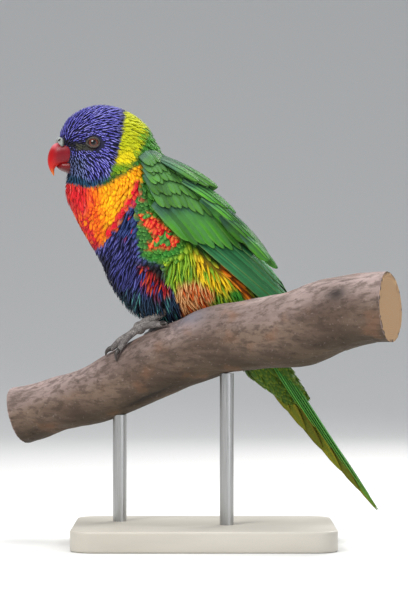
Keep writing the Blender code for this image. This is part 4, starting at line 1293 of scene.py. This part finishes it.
def wing_hue(kind, u, chance):
    """Colours over one wing feather, v = 1 at its lower edge."""
    uu, vv = np.meshgrid(u, VANE_V, indexing="ij")
    if kind == "primary":
        base = plain_hue(uu.shape, (48, 122, 72))
        # Darker towards the upper edge and nearly black along it: painted shade where the next
        # feather covers it.
        base = blended(base, smooth(0.2, -0.8, vv), (30, 92, 60))
        base = blended(base, smooth(0.66, 0.95, vv) * 0.85, (112, 150, 84))
        base = blended(base, smooth(-0.7, -1.0, vv), (6, 22, 14))
        base = blended(base, smooth(0.8, 1.0, uu) * 0.5, (24, 66, 42))
    elif kind == "secondary":
        base = plain_hue(uu.shape, (62, 106, 80))
        base = blended(base, smooth(0.2, 0.6, uu) * smooth(-0.9, -0.1, vv), (68, 136, 30))
        base = blended(
            base, smooth(0.5, 0.85, uu) * smooth(0.0, 0.5, np.abs(vv + 0.1)) * 0.4, (40, 104, 32)
        )
        # Painted shade: nearly black along the upper edge, where the next feather covers it.
        base = blended(base, smooth(-0.5, -0.95, vv) * 0.95, (8, 26, 12))
        base = blended(base, smooth(0.82, 1.0, vv) * 0.5, (108, 156, 72))
    else:
        base = plain_hue(uu.shape, (72, 112, 84))
        base = blended(base, smooth(0.3, 0.75, uu), (74, 128, 46))
        base = blended(base, smooth(0.85, 1.0, uu) * 0.5, (100, 150, 68))
        # Painted shade: darker along the upper edge, where the next feather covers it.
        base = blended(base, smooth(-0.4, -1.0, vv) * 0.85, (22, 54, 26))
    base = base * (0.84 + 0.4 * chance)
    return blended(base, smooth(0.16, 0.0, np.abs(vv)) * 0.4, (20, 50, 24))


# Feathers of the far wing that stand along the back: root and tip in the photo, depth of root and
# tip, and half width.
FAR_SCAPULARS = [
    (
        (160, 159), (199, 181), 1.5, 3.0, 3.3
    ), ((159, 157), (209, 186), 3.5, 5.5, 3.3), ((162, 156), (218, 187), 6.0, 8.5, 3.2),
    (
        (182, 181), (217, 203), 1.5, 3.0, 3.0
    ), ((184, 178), (228, 208), 3.5, 5.5, 3.0), ((190, 177), (236, 213), 6.0, 8.0, 2.9),
    (
        (202, 197), (236, 223), 1.5, 3.0, 2.8
    ), ((204, 194), (246, 229), 3.5, 5.0, 2.8), ((208, 192), (255, 240), 6.0, 7.5, 2.7),
    (
        (222, 214), (252, 241), 1.5, 2.5, 2.6
    ), ((224, 211), (262, 248), 3.5, 4.5, 2.5), ((228, 209), (270, 257), 5.5, 6.5, 2.4),
    ((242, 232), (270, 260), 2.0, 2.5, 2.0), ((244, 230), (278, 268), 4.0, 4.5, 1.5),
]


def add_far_scapulars(vanes, local):
    """A ridge of vanes with a near and a far slope, where the photo shows the far wing."""
    u = VANE_U
    for i, (root, tip, deep_root, deep_tip, half) in enumerate(FAR_SCAPULARS):
        place = np.array(root) * (1 - u[:, None]) + np.array(tip) * u[:, None]
        bow = 1.6 * np.sin(math.pi * u)
        place = place + np.column_stack([bow * 0.62, -bow * 0.78])
        y = deep_root + (deep_tip - deep_root) * u
        k = (VIEW_FAR - VIEW_PLANE + y) / VIEW_FAR
        x = (place[:, 0] - PHOTO_MID[0]) * SCALE * k
        z = VIEW_HEIGHT + (PHOTO_MID[1] - place[:, 1]) * SCALE * k
        quill = np.column_stack([x, y, z])
        along = unit(np.gradient(quill, axis=0))
        width = half * np.interp(u, *VANE_ENDS) * local.uniform(0.96, 1.08)
        chance = local.uniform()
        hue = wing_hue("lesser" if i < 3 else "secondary", u, chance) * 1.15
        spot = (0.04 + 0.065 * i, 0.95)
        for facing, way, wider, drop in (
            ((0.42, -0.62, 0.66), -1, 1.0, None), ((0.34, 0.84, 0.42), 1, 1.35, 1.25)
        ):
            across, outs = slope(along, facing, way)
            line = quill if drop is None else quill + across * (drop * width)[:, None] - outs * 0.35
            top, under = big_vane(line, outs, across, wider * width, 0.14, 0.3)
            vanes.add(top, under, u, (hue, hue), quill_mark(hue), chance, spot)


def slope(along, facing, way):
    """Directions down one side of the ridge and out of it; way 1 is the far side."""
    across = unit(np.cross(along, np.array(facing)))
    across = across * (1 if across[0] @ np.array([0.0, way, -1.0]) > 0 else -1)
    outs = unit(np.cross(across, along))
    return across, outs * (1 if outs[0][2] > 0 else -1)


def make_wing(side, material):
    """Tiers of vanes from the flight feathers up to the shoulder; side 1 is the right."""
    name = "wing_left" if side < 0 else "wing_right"
    local = np.random.default_rng(7)
    vanes = VaneSet()
    right = RIGHTWARD * side
    u = VANE_U
    for tier, (
        kind, (count, roots, tips, half, (low, high), tilt, bow)
    ) in enumerate(WING_TIERS.items()):
        loose = 0.35 if kind == "primary" else 1.0
        for i in range(count):
            f = i / (count - 1)
            chance = local.uniform()
            tip = between(tips, f) + local.uniform(-1.0, 1.0, 2) * loose
            root = between(roots, f) + local.uniform(-0.6, 0.6, 2) * loose
            long = unit(tip - root)
            down = np.array([long[1], -long[0]])
            rise = high + local.uniform(-0.25, 0.25)
            here, outs, parts = [], [], []
            for share in u:
                x, z = root + (tip - root) * share - down * bow * math.sin(math.pi * share)
                t, angle = wing_bed.find(x, z, 0.12)
                p, out = wing_bed.frame(t, angle * side)
                if side * lateral(p[0] + out[0]) < side * lateral(p[0]):
                    out = -out
                here.append(p[0])
                outs.append(out[0])
                parts.append(0.6 + 0.4 * math.sin(angle) ** 2)
            here, outs, parts = np.array(here), np.array(outs), np.array(parts)[:, None]
            across = unit(np.cross(outs, unit(np.gradient(here, axis=0))))
            across[(across @ (right - (0, 0, 1.0))) < 0] *= -1
            quill = here + outs * ((low + (rise - low) * u ** 0.8)[:, None] * parts)
            if side > 0:
                quill = quill + np.array([0.6, 0.0, 0.8]) * (
                    smooth(0.3, 1.0, f) * smooth(0.0, 0.3, u)
                )[:, None]
            ends = np.interp(u, *(PRIMARY_ENDS if kind == "primary" else VANE_ENDS))
            tilts = (tilt * (0.2 + 0.8 * u))[:, None, None] * VANE_V[None, :, None]
            top, under = big_vane(
                quill, outs, across, half * ends * local.uniform(0.96, 1.1), 0.16, 0.26
            )
            top, under = top + outs[:, None] * tilts, under + outs[:, None] * tilts
            nearest = np.minimum(*((side * lateral(face)).min(axis=1) for face in (top, under)))
            aside = right * np.maximum(0.9 - nearest, 0)[:, None, None]
            hue = wing_hue(kind, u, chance)
            spot = (0.04 + 0.9 * f, 0.06 + 0.12 * tier)
            # The under faces take the top's colours at 0.35: painted shade on the side that faces
            # in towards the body.
            vanes.add(
                top + aside, under + aside, u, (hue, hue * 0.35), quill_mark(hue), chance, spot
            )
    if side > 0:
        add_far_scapulars(vanes, local)
    return vanes.build(f"{name}_feathers", material, "green_plumage", name)


TAIL_ROOT = (37.0, 118.5)
TAIL_TIP = (103.2, 17.0)
TAIL_SLOPE = math.radians(42.0)
TAIL_TWIST = math.radians(26.0)
# Length, inner and outer edge from the ridge at the middle, and where the tip lies from the ridge.
TAIL_FEATHERS = [
    (121.5, 0.5, 6.6, 1.0),
    (106.0, 1.3, 8.4, 3.2),
    (90.0, 2.3, 10.0, 5.8),
    (74.0, 3.6, 11.5, 8.0),
    (58.0, 5.2, 13.0, 10.0),
    (44.0, 7.2, 14.3, 11.8),
]


def make_tail(material):
    """Stepped pairs of vanes that meet in a low ridge."""
    root, tip = (world(a, 0.0, z) for a, z in (TAIL_ROOT, TAIL_TIP))
    along = unit(tip - root)
    up = np.cross(along, RIGHTWARD)
    if up[2] < 0:
        up = -up
    across = RIGHTWARD * math.cos(TAIL_TWIST) - up * math.sin(TAIL_TWIST)
    normal = up * math.cos(TAIL_TWIST) + RIGHTWARD * math.sin(TAIL_TWIST)
    local = np.random.default_rng(11)
    vanes = VaneSet()
    u = np.concatenate([np.linspace(0, 0.85, 12), [0.9, 0.94, 0.97, 0.99, 1.0]])
    uu, vv = np.meshgrid(u, VANE_V, indexing="ij")
    upper = blended(plain_hue(uu.shape, (60, 150, 70)), smooth(0.5, 1.0, vv) * 0.5, (110, 190, 70))
    lower = blended(plain_hue(uu.shape, (138, 134, 26)), smooth(0.4, 1.0, vv) * 0.5, (96, 110, 20))
    lower = blended(lower, smooth(-0.6, -1.0, vv) * 0.7, (40, 44, 10))
    dark = (smooth(0.14, 0.02, np.abs(vv)) * 0.7)[..., None]
    for k, (length, inner, outer, end) in enumerate(TAIL_FEATHERS):
        for side in (-1, 1):
            chance = local.uniform()
            out = side * math.cos(TAIL_SLOPE) * across - math.sin(TAIL_SLOPE) * normal
            above = math.cos(TAIL_SLOPE) * normal + side * math.sin(TAIL_SLOPE) * across
            start, middle = 1.6 + 0.8 * k, (inner + outer) / 2
            centre = np.where(
                u < 0.5, start + (middle - start) * 2 * u, middle + (end - middle) * (2 * u - 1)
            )
            widths = (outer - inner) / 2 * np.interp(u, *TAIL_ENDS)
            quill = root + along * (2.0 + (length - 2.0) * u)[:, None]
            quill = quill + out * centre[:, None] - above * (0.95 * k)
            outs, rights = np.tile(above, (len(u), 1)), np.tile(out, (len(u), 1))
            top, under = big_vane(quill, outs, rights, widths, 0.1, 0.3)
            light = 0.85 + 0.3 * chance
            hues = (upper * (1 - dark * 0.5) * light, lower * (1 - dark) * light)
            mark = np.array([*srgb(*((96, 160, 60) if k == 0 else (120, 130, 30))), 0.0])
            vanes.add(
                top, under, u, hues, mark, chance, (0.1 + 0.8 * (k / 6), 0.3 + 0.4 * (side > 0))
            )
    return vanes.build("tail_feathers", material, "olive_plumage", "tail")


# Bill, cere, eyes and lids.

# The ends of the line on which the bill meets the face.
FACE_TOP = np.array((-83.5, 234.6))
FACE_LOW = np.array((-76.6, 212.0))


# Stations of the bill, in the same order as the body's.
UPPER_BILL = np.array([
    (-78.6, 232.6, -72.6, 219.3, 7.4),
    (-81.8, 232.2, -75.6, 218.9, 7.7),
    (-86.7, 230.5, -81.0, 218.9, 6.7),
    (-89.3, 226.5, -83.8, 218.5, 5.45),
    (-90.2, 221.8, -85.7, 217.4, 4.05),
    (-89.6, 217.5, -86.5, 215.7, 2.65),
    (-88.2, 214.3, -86.5, 213.8, 1.45),
    (-86.7, 212.2, -86.55, 212.2, 0.12),
])
LOWER_BILL = np.array([
    (-72.6, 221.0, -72.9, 213.9, 6.8),
    (-75.8, 221.0, -76.1, 213.4, 7.1),
    (-80.6, 220.2, -80.4, 214.5, 6.1),
    (-83.4, 219.6, -83.2, 215.8, 4.6),
    (-85.2, 218.4, -85.0, 217.2, 0.9),
])


def horn(name, stations, material, slot, node, boxy):
    """A bill half from its stations, squared off above (boxy 1) or below (boxy -1)."""
    rows, around = 44, 40
    row = eased(stations, np.linspace(0, len(stations) - 1, rows))
    angle = 2 * math.pi * (np.arange(around) + 0.5) / around
    centre, axis, height = spine(row)
    up = np.cos(angle)
    here = centre[:, None] + axis[:, None] * (height[:, None] * up[None])[..., None]
    wide = np.sign(np.sin(angle)) * np.abs(np.sin(angle)) ** np.where(up * boxy > 0, 0.45, 0.95)
    points = world(here[..., 0], row[:, 4][:, None] * wide[None], here[..., 1]).reshape(-1, 3)
    points = np.vstack([points, [points[:around].mean(axis=0)], [points[-around:].mean(axis=0)]])
    return ride(outward(make_mesh(name, points, capped_faces(rows, around), material)), slot, node)


def tube_points(path, radii, sides):
    """Rings of points round a path, with a radius at each of its places."""
    path = np.asarray(path, float)
    radii = np.asarray(radii, float)
    across = unit(np.cross(path[1] - path[0], (0.13, 0.99, 0.07)))
    turn = 2 * math.pi * np.arange(sides) / sides
    points = []
    for i in range(len(path)):
        along = unit(path[min(i + 1, len(path) - 1)] - path[max(i - 1, 0)])
        across = unit(across - along * np.dot(across, along))
        other = np.cross(along, across)
        points.append(
            path[i] + radii[i] * (np.cos(turn)[:, None] * across + np.sin(turn)[:, None] * other)
        )
    return np.array(points)


def close_tube(name, points, path, material):
    """An object from rings of points and the two ends of their path."""
    rows, sides = points.shape[:2]
    flat = np.vstack([points.reshape(-1, 3), [path[0]], [path[-1]]])
    return outward(make_mesh(name, flat, capped_faces(rows, sides), material))


def tube(name, path, radii, sides, material):
    """A closed tube round a path."""
    return close_tube(name, tube_points(path, radii, sides), path, material)


def rounded(path, radii, steps=5):
    """Adds domes to both ends of a path of points and radii."""
    path, radii = [np.asarray(p, float) for p in path], list(radii)
    head, tail = unit(path[0] - path[1]), unit(path[-1] - path[-2])
    r0, r1 = radii[0], radii[-1]
    angles = np.linspace(0, math.pi / 2, steps + 1)[1:]
    before = [
        (path[0] + head * r0 * math.sin(k), max(r0 * math.cos(k), 0.02)) for k in angles
    ][::-1]
    after = [(path[-1] + tail * r1 * math.sin(k), max(r1 * math.cos(k), 0.02)) for k in angles]
    path = [p for p, _ in before] + path + [p for p, _ in after]
    radii = [r for _, r in before] + radii + [r for _, r in after]
    return path, radii


def cere_place(turn):
    """The middle of the cere's roll at a turn from its top, positive on the right."""
    along = FACE_LOW - FACE_TOP
    here = FACE_TOP + along * 0.27 + unit(-along) * 5.6 * math.cos(turn)
    here = here + unit((along[1], -along[0])) * 0.5
    return world(here[0], 6.8 * math.sin(turn), here[1])


def nostril_place(side):
    """Where a nostril sits in the cere's roll and the way it faces."""
    here = cere_place(math.radians(50 * side))
    return here, unit(here - world(-76.0, 0.0, 226.0))


def make_cere(material):
    """The cere's roll over the root of the bill, with a rimmed pit for each nostril."""
    turns = np.radians(np.linspace(-70, 70, 41))
    path = [cere_place(turn) for turn in turns]
    radii = [
        1.05 + 0.85 * math.exp(-(((abs(math.degrees(turn)) - 48) / 20) ** 2)) for turn in turns
    ]
    path, radii = rounded(path, radii)
    points = tube_points(path, radii, 28)
    flat = points.reshape(-1, 3)
    for side in (-1, 1):
        here, away = nostril_place(side)
        near = np.linalg.norm(flat - (here + away * 1.8), axis=1)
        flat -= away * (1.3 * smooth(1.15, 0.45, near))[:, None]
        flat += away * (0.25 * np.exp(-(((near - 1.25) / 0.3) ** 2)))[:, None]
    return ride(close_tube("cere", points, path, material), "grey_skin")


def nostril_material():
    n = Nodes("nostril_dark", 0.8)
    pores = n.noise(1200.0, 3.0)
    return n.finish(
        n.mix(pores, (0.004, 0.004, 0.004), (0.016, 0.014, 0.012)), n.bump(pores, 0.3, 0.0002)
    )


def make_nostrils(material):
    """Dark pits in the cere, each a small rounded plug below the rim."""
    def flattened(co):
        co.x *= 1.15
        co.y *= 0.9
        co.z *= 0.85

    for side, word in ((-1, "left"), (1, "right")):
        here, away = nostril_place(side)
        ball(
            f"nostril_{word}", 1.05, here + away * 1.14, away, (20, 12), flattened, material,
            "dark_horn"
        )


def make_eyes():
    """Eyeballs with a slight bulge in front, and a lid round the opening of each."""
    def bulging(co):
        high = co.z / (EYE_RADIUS * MM)
        if high > 0.8:
            co.z += 0.25 * MM * (high - 0.8) / 0.2

    lids = lid_material()
    around, sides = 56, 14
    k = 2 * math.pi * np.arange(sides) / sides
    i, j = np.meshgrid(np.arange(around), np.arange(sides), indexing="ij")
    i2, j2 = (i + 1) % around, (j + 1) % sides
    faces = np.stack(
        [i * sides + j, i2 * sides + j, i2 * sides + j2, i * sides + j2], axis=-1
    ).reshape(-1, 4)
    for side, word in ((-1, "left"), (1, "right")):
        _, look, centre = eye_place(side)
        ball(
            f"eyeball_{word}", EYE_RADIUS - 0.05, centre, look, (40, 28), bulging,
            eye_material(centre, look), "eye_glass", f"eye_{word}"
        )
        back = unit(np.cross(np.cross(look, (math.cos(YAW), math.sin(YAW), -0.1)), look))
        up = unit(np.cross(look, back)) * (1 if np.cross(look, back)[2] > 0 else -1)
        points = []
        for turn in 2 * math.pi * np.arange(around) / around:
            wide = 3.05 * math.cos(turn)
            high = 2.7 * math.sin(turn) * (0.9 if math.sin(turn) > 0 else 0.95)
            corner = 0.55 * max(-math.cos(turn), 0) ** 6
            edge = back * (wide - corner) + up * (high - 0.35 * corner)
            depth = math.sqrt(max(EYE_RADIUS ** 2 - edge @ edge, 0.1))
            away = unit(edge)
            size = 0.4 + 0.06 * math.sin(11 * turn) ** 2 + 0.14 * max(math.sin(turn), 0)
            size += 0.2 * max(-math.cos(turn), 0) ** 4
            place = centre + edge + look * (depth - 0.05) + away * size * 0.35
            points.append(
                place + size * (np.cos(k)[:, None] * away * 1.25 + np.sin(k)[:, None] * look * 0.8)
            )
        ride(
            outward(make_mesh(f"eyelids_{word}", np.array(points).reshape(-1, 3), faces, lids)),
            "grey_skin"
        )


# Branch, feet and claws.

BRANCH_ENDS = (-108.0, 104.0)
# The knot's x and angle in degrees.
KNOT_AT = (2.0, 35.0)
# Each foot's x, angle in degrees and the place where its shank leaves the belly.
FEET = {
    "left": (-27.5, 10.0, (-19.0, -10.5, 139.0)),
    "right": (-31.0, -38.0, (-15.0, 9.5, 140.0)),
}
# Each toe's reach along the branch, turn round it in degrees and radius.
TOES = [(-15.5, 16.0, 2.35), (-10.5, 34.0, 2.2), (13.5, 18.0, 2.2), (8.5, -14.0, 2.0)]
CLAW_LENGTH = 6.5


def branch_axis(x):
    """Centre and radius of the branch at x."""
    xs = BRANCH[:, 0]
    i = min(max(int(np.searchsorted(xs, x)) - 1, 0), len(xs) - 2)
    t = i + (x - xs[i]) / (xs[i + 1] - xs[i])
    row = eased(BRANCH, t)[0]
    return row[:3], row[3]


def branch_frame(x):
    """Directions along the branch, towards the camera and up."""
    along = unit(branch_axis(x + 1.0)[0] - branch_axis(x - 1.0)[0])
    near = unit(np.cross(along, (0, 0, 1.0)))
    return along, near, np.cross(near, along)


def branch_relief(x, angle):
    """Height of swellings, knot and crack over the plain branch."""
    calm = 1 - math.exp(-(((x + 30) / 22) ** 2))
    swell = 0.55 * np.sin(0.11 * x + 2.0 * angle + 0.4) + 0.4 * np.sin(0.21 * x - 3.0 * angle)
    knot = 2.0 * np.exp(
        -(((x - KNOT_AT[0]) / 7) ** 2) - ((np.degrees(angle) - KNOT_AT[1]) / 18) ** 2
    )
    crack = -0.9 * np.exp(-(((x + 36) / 16) ** 2) - ((np.degrees(angle) - 150) / 9) ** 2)
    return calm * (swell + knot) + crack


def branch_point(x, angle, off=0.0):
    """A place on the bark, or off it."""
    centre, radius = branch_axis(x)
    _, near, up = branch_frame(x)
    out = up * math.cos(angle) + near * math.sin(angle)
    return centre + out * (radius + branch_relief(x, angle) + off)


def make_branch():
    """Bark with its relief, and two sawn ends."""
    rows, around = 300, 132
    xs = np.linspace(*BRANCH_ENDS, rows)
    angle = 2 * math.pi * np.arange(around) / around
    points = np.empty((rows, around, 3))
    bark = np.zeros((rows, around, 3))
    for i, x in enumerate(xs):
        centre, radius = branch_axis(x)
        _, near, up = branch_frame(x)
        out = np.cos(angle)[:, None] * up + np.sin(angle)[:, None] * near
        grain = np.empty(around)
        crackle = np.empty(around)
        for j in range(around):
            cx, sx = math.cos(angle[j]), math.sin(angle[j])
            place = Vector((x * 0.035, cx * 2.2, sx * 2.2))
            grain[j] = noise.noise(place) * 0.35 + noise.noise(
                Vector((x * 0.12, cx * 8, sx * 8 + 3.0))
            ) * 0.22
            ridge = abs(noise.noise(Vector((x * 0.05 + 9, cx * 5.5, sx * 5.5))))
            crackle[j] = math.exp(-((ridge / 0.035) ** 2)) * (
                0.3 + 0.7 * (noise.noise(Vector((x * 0.02, cx, sx + 7))) > 0)
            )
        foot = math.exp(-(((x + 33) / 18) ** 2))
        fine = (grain * 1.5 - 0.5 - 0.4 * crackle) * (1 - 0.7 * foot)
        relief = branch_relief(x, angle) + fine - 0.15
        points[i] = centre + out * (radius + relief)[:, None]
        knot = np.exp(-(((x - KNOT_AT[0]) / 8) ** 2) - ((np.degrees(angle) - KNOT_AT[1]) / 20) ** 2)
        wound = np.exp(-(((x - 82.0) / 5.0) ** 2) - ((np.degrees(angle) - 62) / 12) ** 2)
        deep = np.exp(-(((x + 36) / 15) ** 2) - ((np.degrees(angle) - 150) / 5) ** 2)
        # On the bark the first channel is how far a place faces up; it paints the bark paler on top
        # and darker underneath as light and shade.
        bark[i, :, 0] = np.cos(angle) * 0.42 + 0.5 + 0.08 * grain
        bark[i, :, 1] = knot
        bark[i, :, 2] = np.clip(deep * 0.9 + wound * 0.9 + crackle * 0.35, 0, 1)
    flat = points.reshape(-1, 3)
    tone = bark.reshape(-1, 3)
    faces = loft_faces(rows, around)
    tri = np.vstack([faces[:, [0, 1, 2]], faces[:, [0, 2, 3]]])
    materials = [0] * len(tri)
    extra, more_tone, caps = [], [], []
    count = len(flat)
    for end in (0, rows - 1):
        centre = points[end].mean(axis=0)
        previous = count
        for k, share in enumerate((1.0, 0.8, 0.55, 0.3, 0.1)):
            extra.append(centre + (points[end] - centre) * share)
            more_tone.append(np.full((around, 3), 0.0) + (share, 0, 0))
            if k:
                j = np.arange(around)
                n = (j + 1) % around
                a, b = previous, previous + around
                caps.append(np.column_stack([a + j, a + n, b + n]))
                caps.append(np.column_stack([a + j, b + n, b + j]))
                previous += around
            count += around
        extra.append([centre])
        more_tone.append(np.zeros((1, 3)))
        j = np.arange(around)
        caps.append(
            np.column_stack([previous + j, previous + (j + 1) % around, np.full(around, count)])
        )
        count += 1
    caps = np.vstack(caps)
    tri = np.vstack([tri, caps])
    materials += [1] * len(caps)
    obj = make_mesh(
        "perch_bark", np.vstack([flat] + extra), tri, [bark_material(), sawn_material()],
        mat_index=materials
    )
    add_point_data(obj, "bark", np.vstack([tone] + more_tone))
    bm = bmesh.new()
    bm.from_mesh(obj.data)
    bmesh.ops.remove_doubles(bm, verts=bm.verts, dist=1e-6)
    bmesh.ops.recalc_face_normals(bm, faces=bm.faces)
    for edge in bm.edges:
        if len({face.material_index for face in edge.link_faces}) > 1:
            edge.smooth = False
    bm.to_mesh(obj.data)
    bm.free()
    return ride(obj, "branch_wood", "perch_branch")


def toe_lines(side, toe):
    """Places and sizes along a toe and along its claw."""
    x0, degrees, _ = FEET[side]
    reach, turn, radius = TOES[toe]
    angle0 = math.radians(degrees)
    turn = math.radians(turn) * (1.0 if side == "left" else -1.0)
    length = math.hypot(reach, turn * (branch_axis(x0)[1] + radius))

    def place(f):
        claw = max(f - 1.0, 0.0) * length / CLAW_LENGTH
        size = radius * (
            1.0 - 0.22 * f + 0.07 * math.cos(3 * math.pi * f)
        ) if f <= 1 else radius * 0.62 * (1 - claw) + 0.28
        arch = 1.7 * max(1 - f, 0.0) ** 2 + 0.5 * math.sin(math.pi * min(f, 1.0))
        arch += 0.9 * math.sin(math.pi * min(claw, 1.0))
        rest = radius * 0.82 * (1 - claw) + 0.28 * claw if f > 1 else size
        x = x0 + reach * (f - 0.35 * claw * max(f - 1.0, 0.0))
        return branch_point(x, angle0 + turn * f ** 1.2, GAP + 0.15 + rest + arch), size

    toe_line = [place(f) for f in np.linspace(0, 1, 37)]
    start = 1.0 - 0.5 / length
    claw_line = [
        place(start + (CLAW_LENGTH / length + 0.4 / length) * f) for f in np.linspace(0, 1, 18)
    ]
    return toe_line, claw_line


def make_feet():
    """Shank, pad and toes blended into a foot on each side, with four claws."""
    skin, horn_finish = foot_material(), claw_material()
    for side in FEET:
        parts = []
        top = world(*FEET[side][2])
        x0, degrees, _ = FEET[side]
        heel = branch_point(x0 + 0.5, math.radians(degrees), GAP + 4.6)
        middle = (top + heel) / 2 + np.array([1.2, 0, 0])
        path = [
            heel * (1 - f) ** 2 + 2 * middle * f * (1 - f) + top * f * f
            for f in np.linspace(0, 1, 20)
        ]
        radii = [2.9 + 0.18 * abs(math.sin(9 * f)) for f in np.linspace(0, 1, 20)]
        parts.append(tube("shank", *rounded(path, radii), 24, skin))
        for toe in range(4):
            toe_line, claw_line = toe_lines(side, toe)
            path, radii = zip(*toe_line)
            scutes = [
                r * (1.0 + 0.07 * abs(math.sin(0.5 * math.pi * i)) - 0.03) for i,
                r in enumerate(radii)
            ]
            parts.append(tube("toe", *rounded(path, scutes), 20, skin))
            cpath, cradii = zip(*claw_line)
            cradii = [
                min(r, 1.45) * (1.0 if i < len(cradii) - 1 else 0.15) for i, r in enumerate(cradii)
            ]
            claw = tube(f"claw_{side}_horn_{toe + 1}", cpath, cradii, 16, horn_finish)
            ride(claw, "dark_horn", f"claw_{side}_{toe + 1}")
        pad_at = branch_point(x0, math.radians(degrees), GAP + 4.2)
        up = unit(pad_at - branch_axis(x0)[0])
        parts.append(
            tube("pad", *rounded([pad_at - up * 0.3, pad_at + up * 0.3], [3.55, 3.5], 8), 24, skin)
        )
        bpy.ops.object.select_all(action="DESELECT")
        for part in parts:
            part.select_set(True)
        bpy.context.view_layer.objects.active = parts[0]
        bpy.ops.object.join()
        foot = bpy.context.object
        foot.name = f"foot_{side}"
        remesh = foot.modifiers.new("blend", "REMESH")
        remesh.mode = "VOXEL"
        remesh.voxel_size = 0.35 * MM
        bpy.ops.object.modifier_apply(modifier="blend")
        bpy.ops.object.shade_smooth()
        dress(foot, skin)
        ride(foot, "grey_skin", f"leg_{side}")


def make_stand():
    """A base with rounded corners and edges, and two rods."""
    lacquer, steel = base_material(), rod_material()
    low, high = (np.array(corner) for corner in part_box("stand_base"))
    bpy.ops.object.select_all(action="DESELECT")
    bpy.ops.mesh.primitive_cube_add(size=1.0, location=tuple((low + high) / 2))
    base = bpy.context.object
    base.name = "stand_base_block"
    base.scale = tuple(high - low)
    bpy.ops.object.transform_apply(location=False, rotation=False, scale=True)
    bpy.ops.object.mode_set(mode="EDIT")
    bm = bmesh.from_edit_mesh(base.data)
    bpy.ops.mesh.select_all(action="DESELECT")
    for edge in bm.edges:
        a, b = (v.co for v in edge.verts)
        if abs(a.z - b.z) > 1e-4:
            edge.select_set(True)
    bmesh.update_edit_mesh(base.data)
    bpy.ops.mesh.bevel(offset=0.014, segments=12, affect="EDGES")
    bpy.ops.object.mode_set(mode="OBJECT")
    soften = base.modifiers.new("edge", "BEVEL")
    soften.width = 0.0013
    soften.segments = 4
    soften.limit_method = "ANGLE"
    soften.angle_limit = math.radians(50)
    bpy.ops.object.modifier_apply(modifier="edge")
    bpy.ops.object.transform_apply(location=True, rotation=True, scale=True)
    bpy.ops.object.shade_smooth_by_angle(angle=math.radians(35))
    dress(base, lacquer)
    ride(base, "stand_base_paint", "stand_base")
    for i in (1, 2):
        low, high = (np.array(corner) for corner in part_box(f"stand_rod_{i}"))
        centre = (low + high) / 2
        bpy.ops.object.select_all(action="DESELECT")
        bpy.ops.mesh.primitive_cylinder_add(
            vertices=64, radius=0.004, depth=float(high[2] - low[2]) + 0.0006,
            location=(centre[0], centre[1], centre[2] - 0.0003)
        )
        rod = bpy.context.object
        rod.name = f"stand_rod_{i}_steel"
        bpy.ops.object.mode_set(mode="EDIT")
        bm = bmesh.from_edit_mesh(rod.data)
        bpy.ops.mesh.select_all(action="DESELECT")
        for face in bm.faces:
            if face.normal.z < -0.9:
                face.select_set(True)
        bmesh.update_edit_mesh(rod.data)
        bpy.ops.mesh.inset(thickness=0.0012)
        bpy.ops.object.mode_set(mode="OBJECT")
        bpy.ops.object.transform_apply(location=True, rotation=True, scale=True)
        bpy.ops.object.shade_smooth_by_angle(angle=math.radians(35))
        dress(rod, steel)
        ride(rod, "stand_rod_steel", f"stand_rod_{i}")


def make_studio():
    """Floor with a wide cove behind it, lights and camera."""
    width, front = 6.0, -3.0
    profile = [(front, 0.0), (1.2, 0.0)]
    profile += [
        (1.2 + 1.5 * math.sin(k), 1.5 - 1.5 * math.cos(k))
        for k in np.linspace(0.05, math.pi / 2, 24)
    ]
    profile += [(2.7, 4.5)]
    points, faces = [], []
    for y, z in profile:
        points += [(-width, y, z), (width, y, z)]
    for i in range(len(profile) - 1):
        faces.append((2 * i, 2 * i + 1, 2 * i + 3, 2 * i + 2))
    floor = make_mesh("studio_floor", points, faces, floor_material(), size=1.0)
    scene = bpy.context.scene
    sky = bpy.data.worlds.new("studio_sky")
    scene.world = sky
    sky.use_nodes = True
    sky.node_tree.nodes["Background"].inputs[0].default_value = (0.86, 0.9, 0.96, 1.0)
    sky.node_tree.nodes["Background"].inputs[1].default_value = 0.42
    lamps = [
        ("key", (-0.5, -0.7, 0.95), (-0.02, 0.0, 0.16), 0.6, 11.0, (1.0, 0.98, 0.95)),
        ("fill", (0.8, -0.9, 0.4), (0.0, 0.0, 0.14), 0.9, 2.6, (0.92, 0.95, 1.0)),
        ("top", (0.1, 0.2, 1.1), (0.0, 0.02, 0.15), 0.7, 9.0, (1.0, 1.0, 1.0)),
        ("rim", (0.5, 0.8, 0.7), (0.0, 0.0, 0.18), 0.5, 5.0, (1.0, 0.98, 0.94)),
    ]
    for name, place, aim, size, power, colour in lamps:
        light = bpy.data.lights.new(name, "AREA")
        light.shape = "DISK"
        light.size = size
        light.energy = power
        light.color = colour
        lamp = bpy.data.objects.new(name, light)
        lamp.location = place
        lamp.rotation_euler = (Vector(aim) - Vector(place)).to_track_quat("-Z", "Y").to_euler()
        scene.collection.objects.link(lamp)
    camera = bpy.data.cameras.new("photo_camera")
    camera.sensor_width = 36.0
    camera.sensor_fit = "AUTO"
    camera.lens = camera.sensor_width * VIEW_FAR / (2 * PHOTO_MID[1] * SCALE)
    camera.clip_end = 30.0
    viewer = bpy.data.objects.new("photo_camera", camera)
    viewer.location = (0.0, (VIEW_PLANE - VIEW_FAR) * MM, VIEW_HEIGHT * MM)
    viewer.rotation_euler = (math.pi / 2, 0.0, 0.0)
    scene.collection.objects.link(viewer)
    scene.camera = viewer
    scene.view_settings.view_transform = "Standard"


def main():
    make_studio()
    make_stand()
    make_branch()
    make_feet()
    make_skin(skin_material())
    make_coat()
    vane_finish = plumage_material("long_feathers", 34.0, 0.55, 0.25, 0.8, 0.2)
    for side in (-1, 1):
        make_wing(side, vane_finish)
    make_tail(vane_finish)
    horn("upper_bill", UPPER_BILL, bill_material(True), "red_horn", "bill_upper", -1)
    horn("lower_bill", LOWER_BILL, bill_material(False), "red_horn", "bill_lower", 1)
    make_cere(cere_material())
    make_nostrils(nostril_material())
    make_eyes()


main()
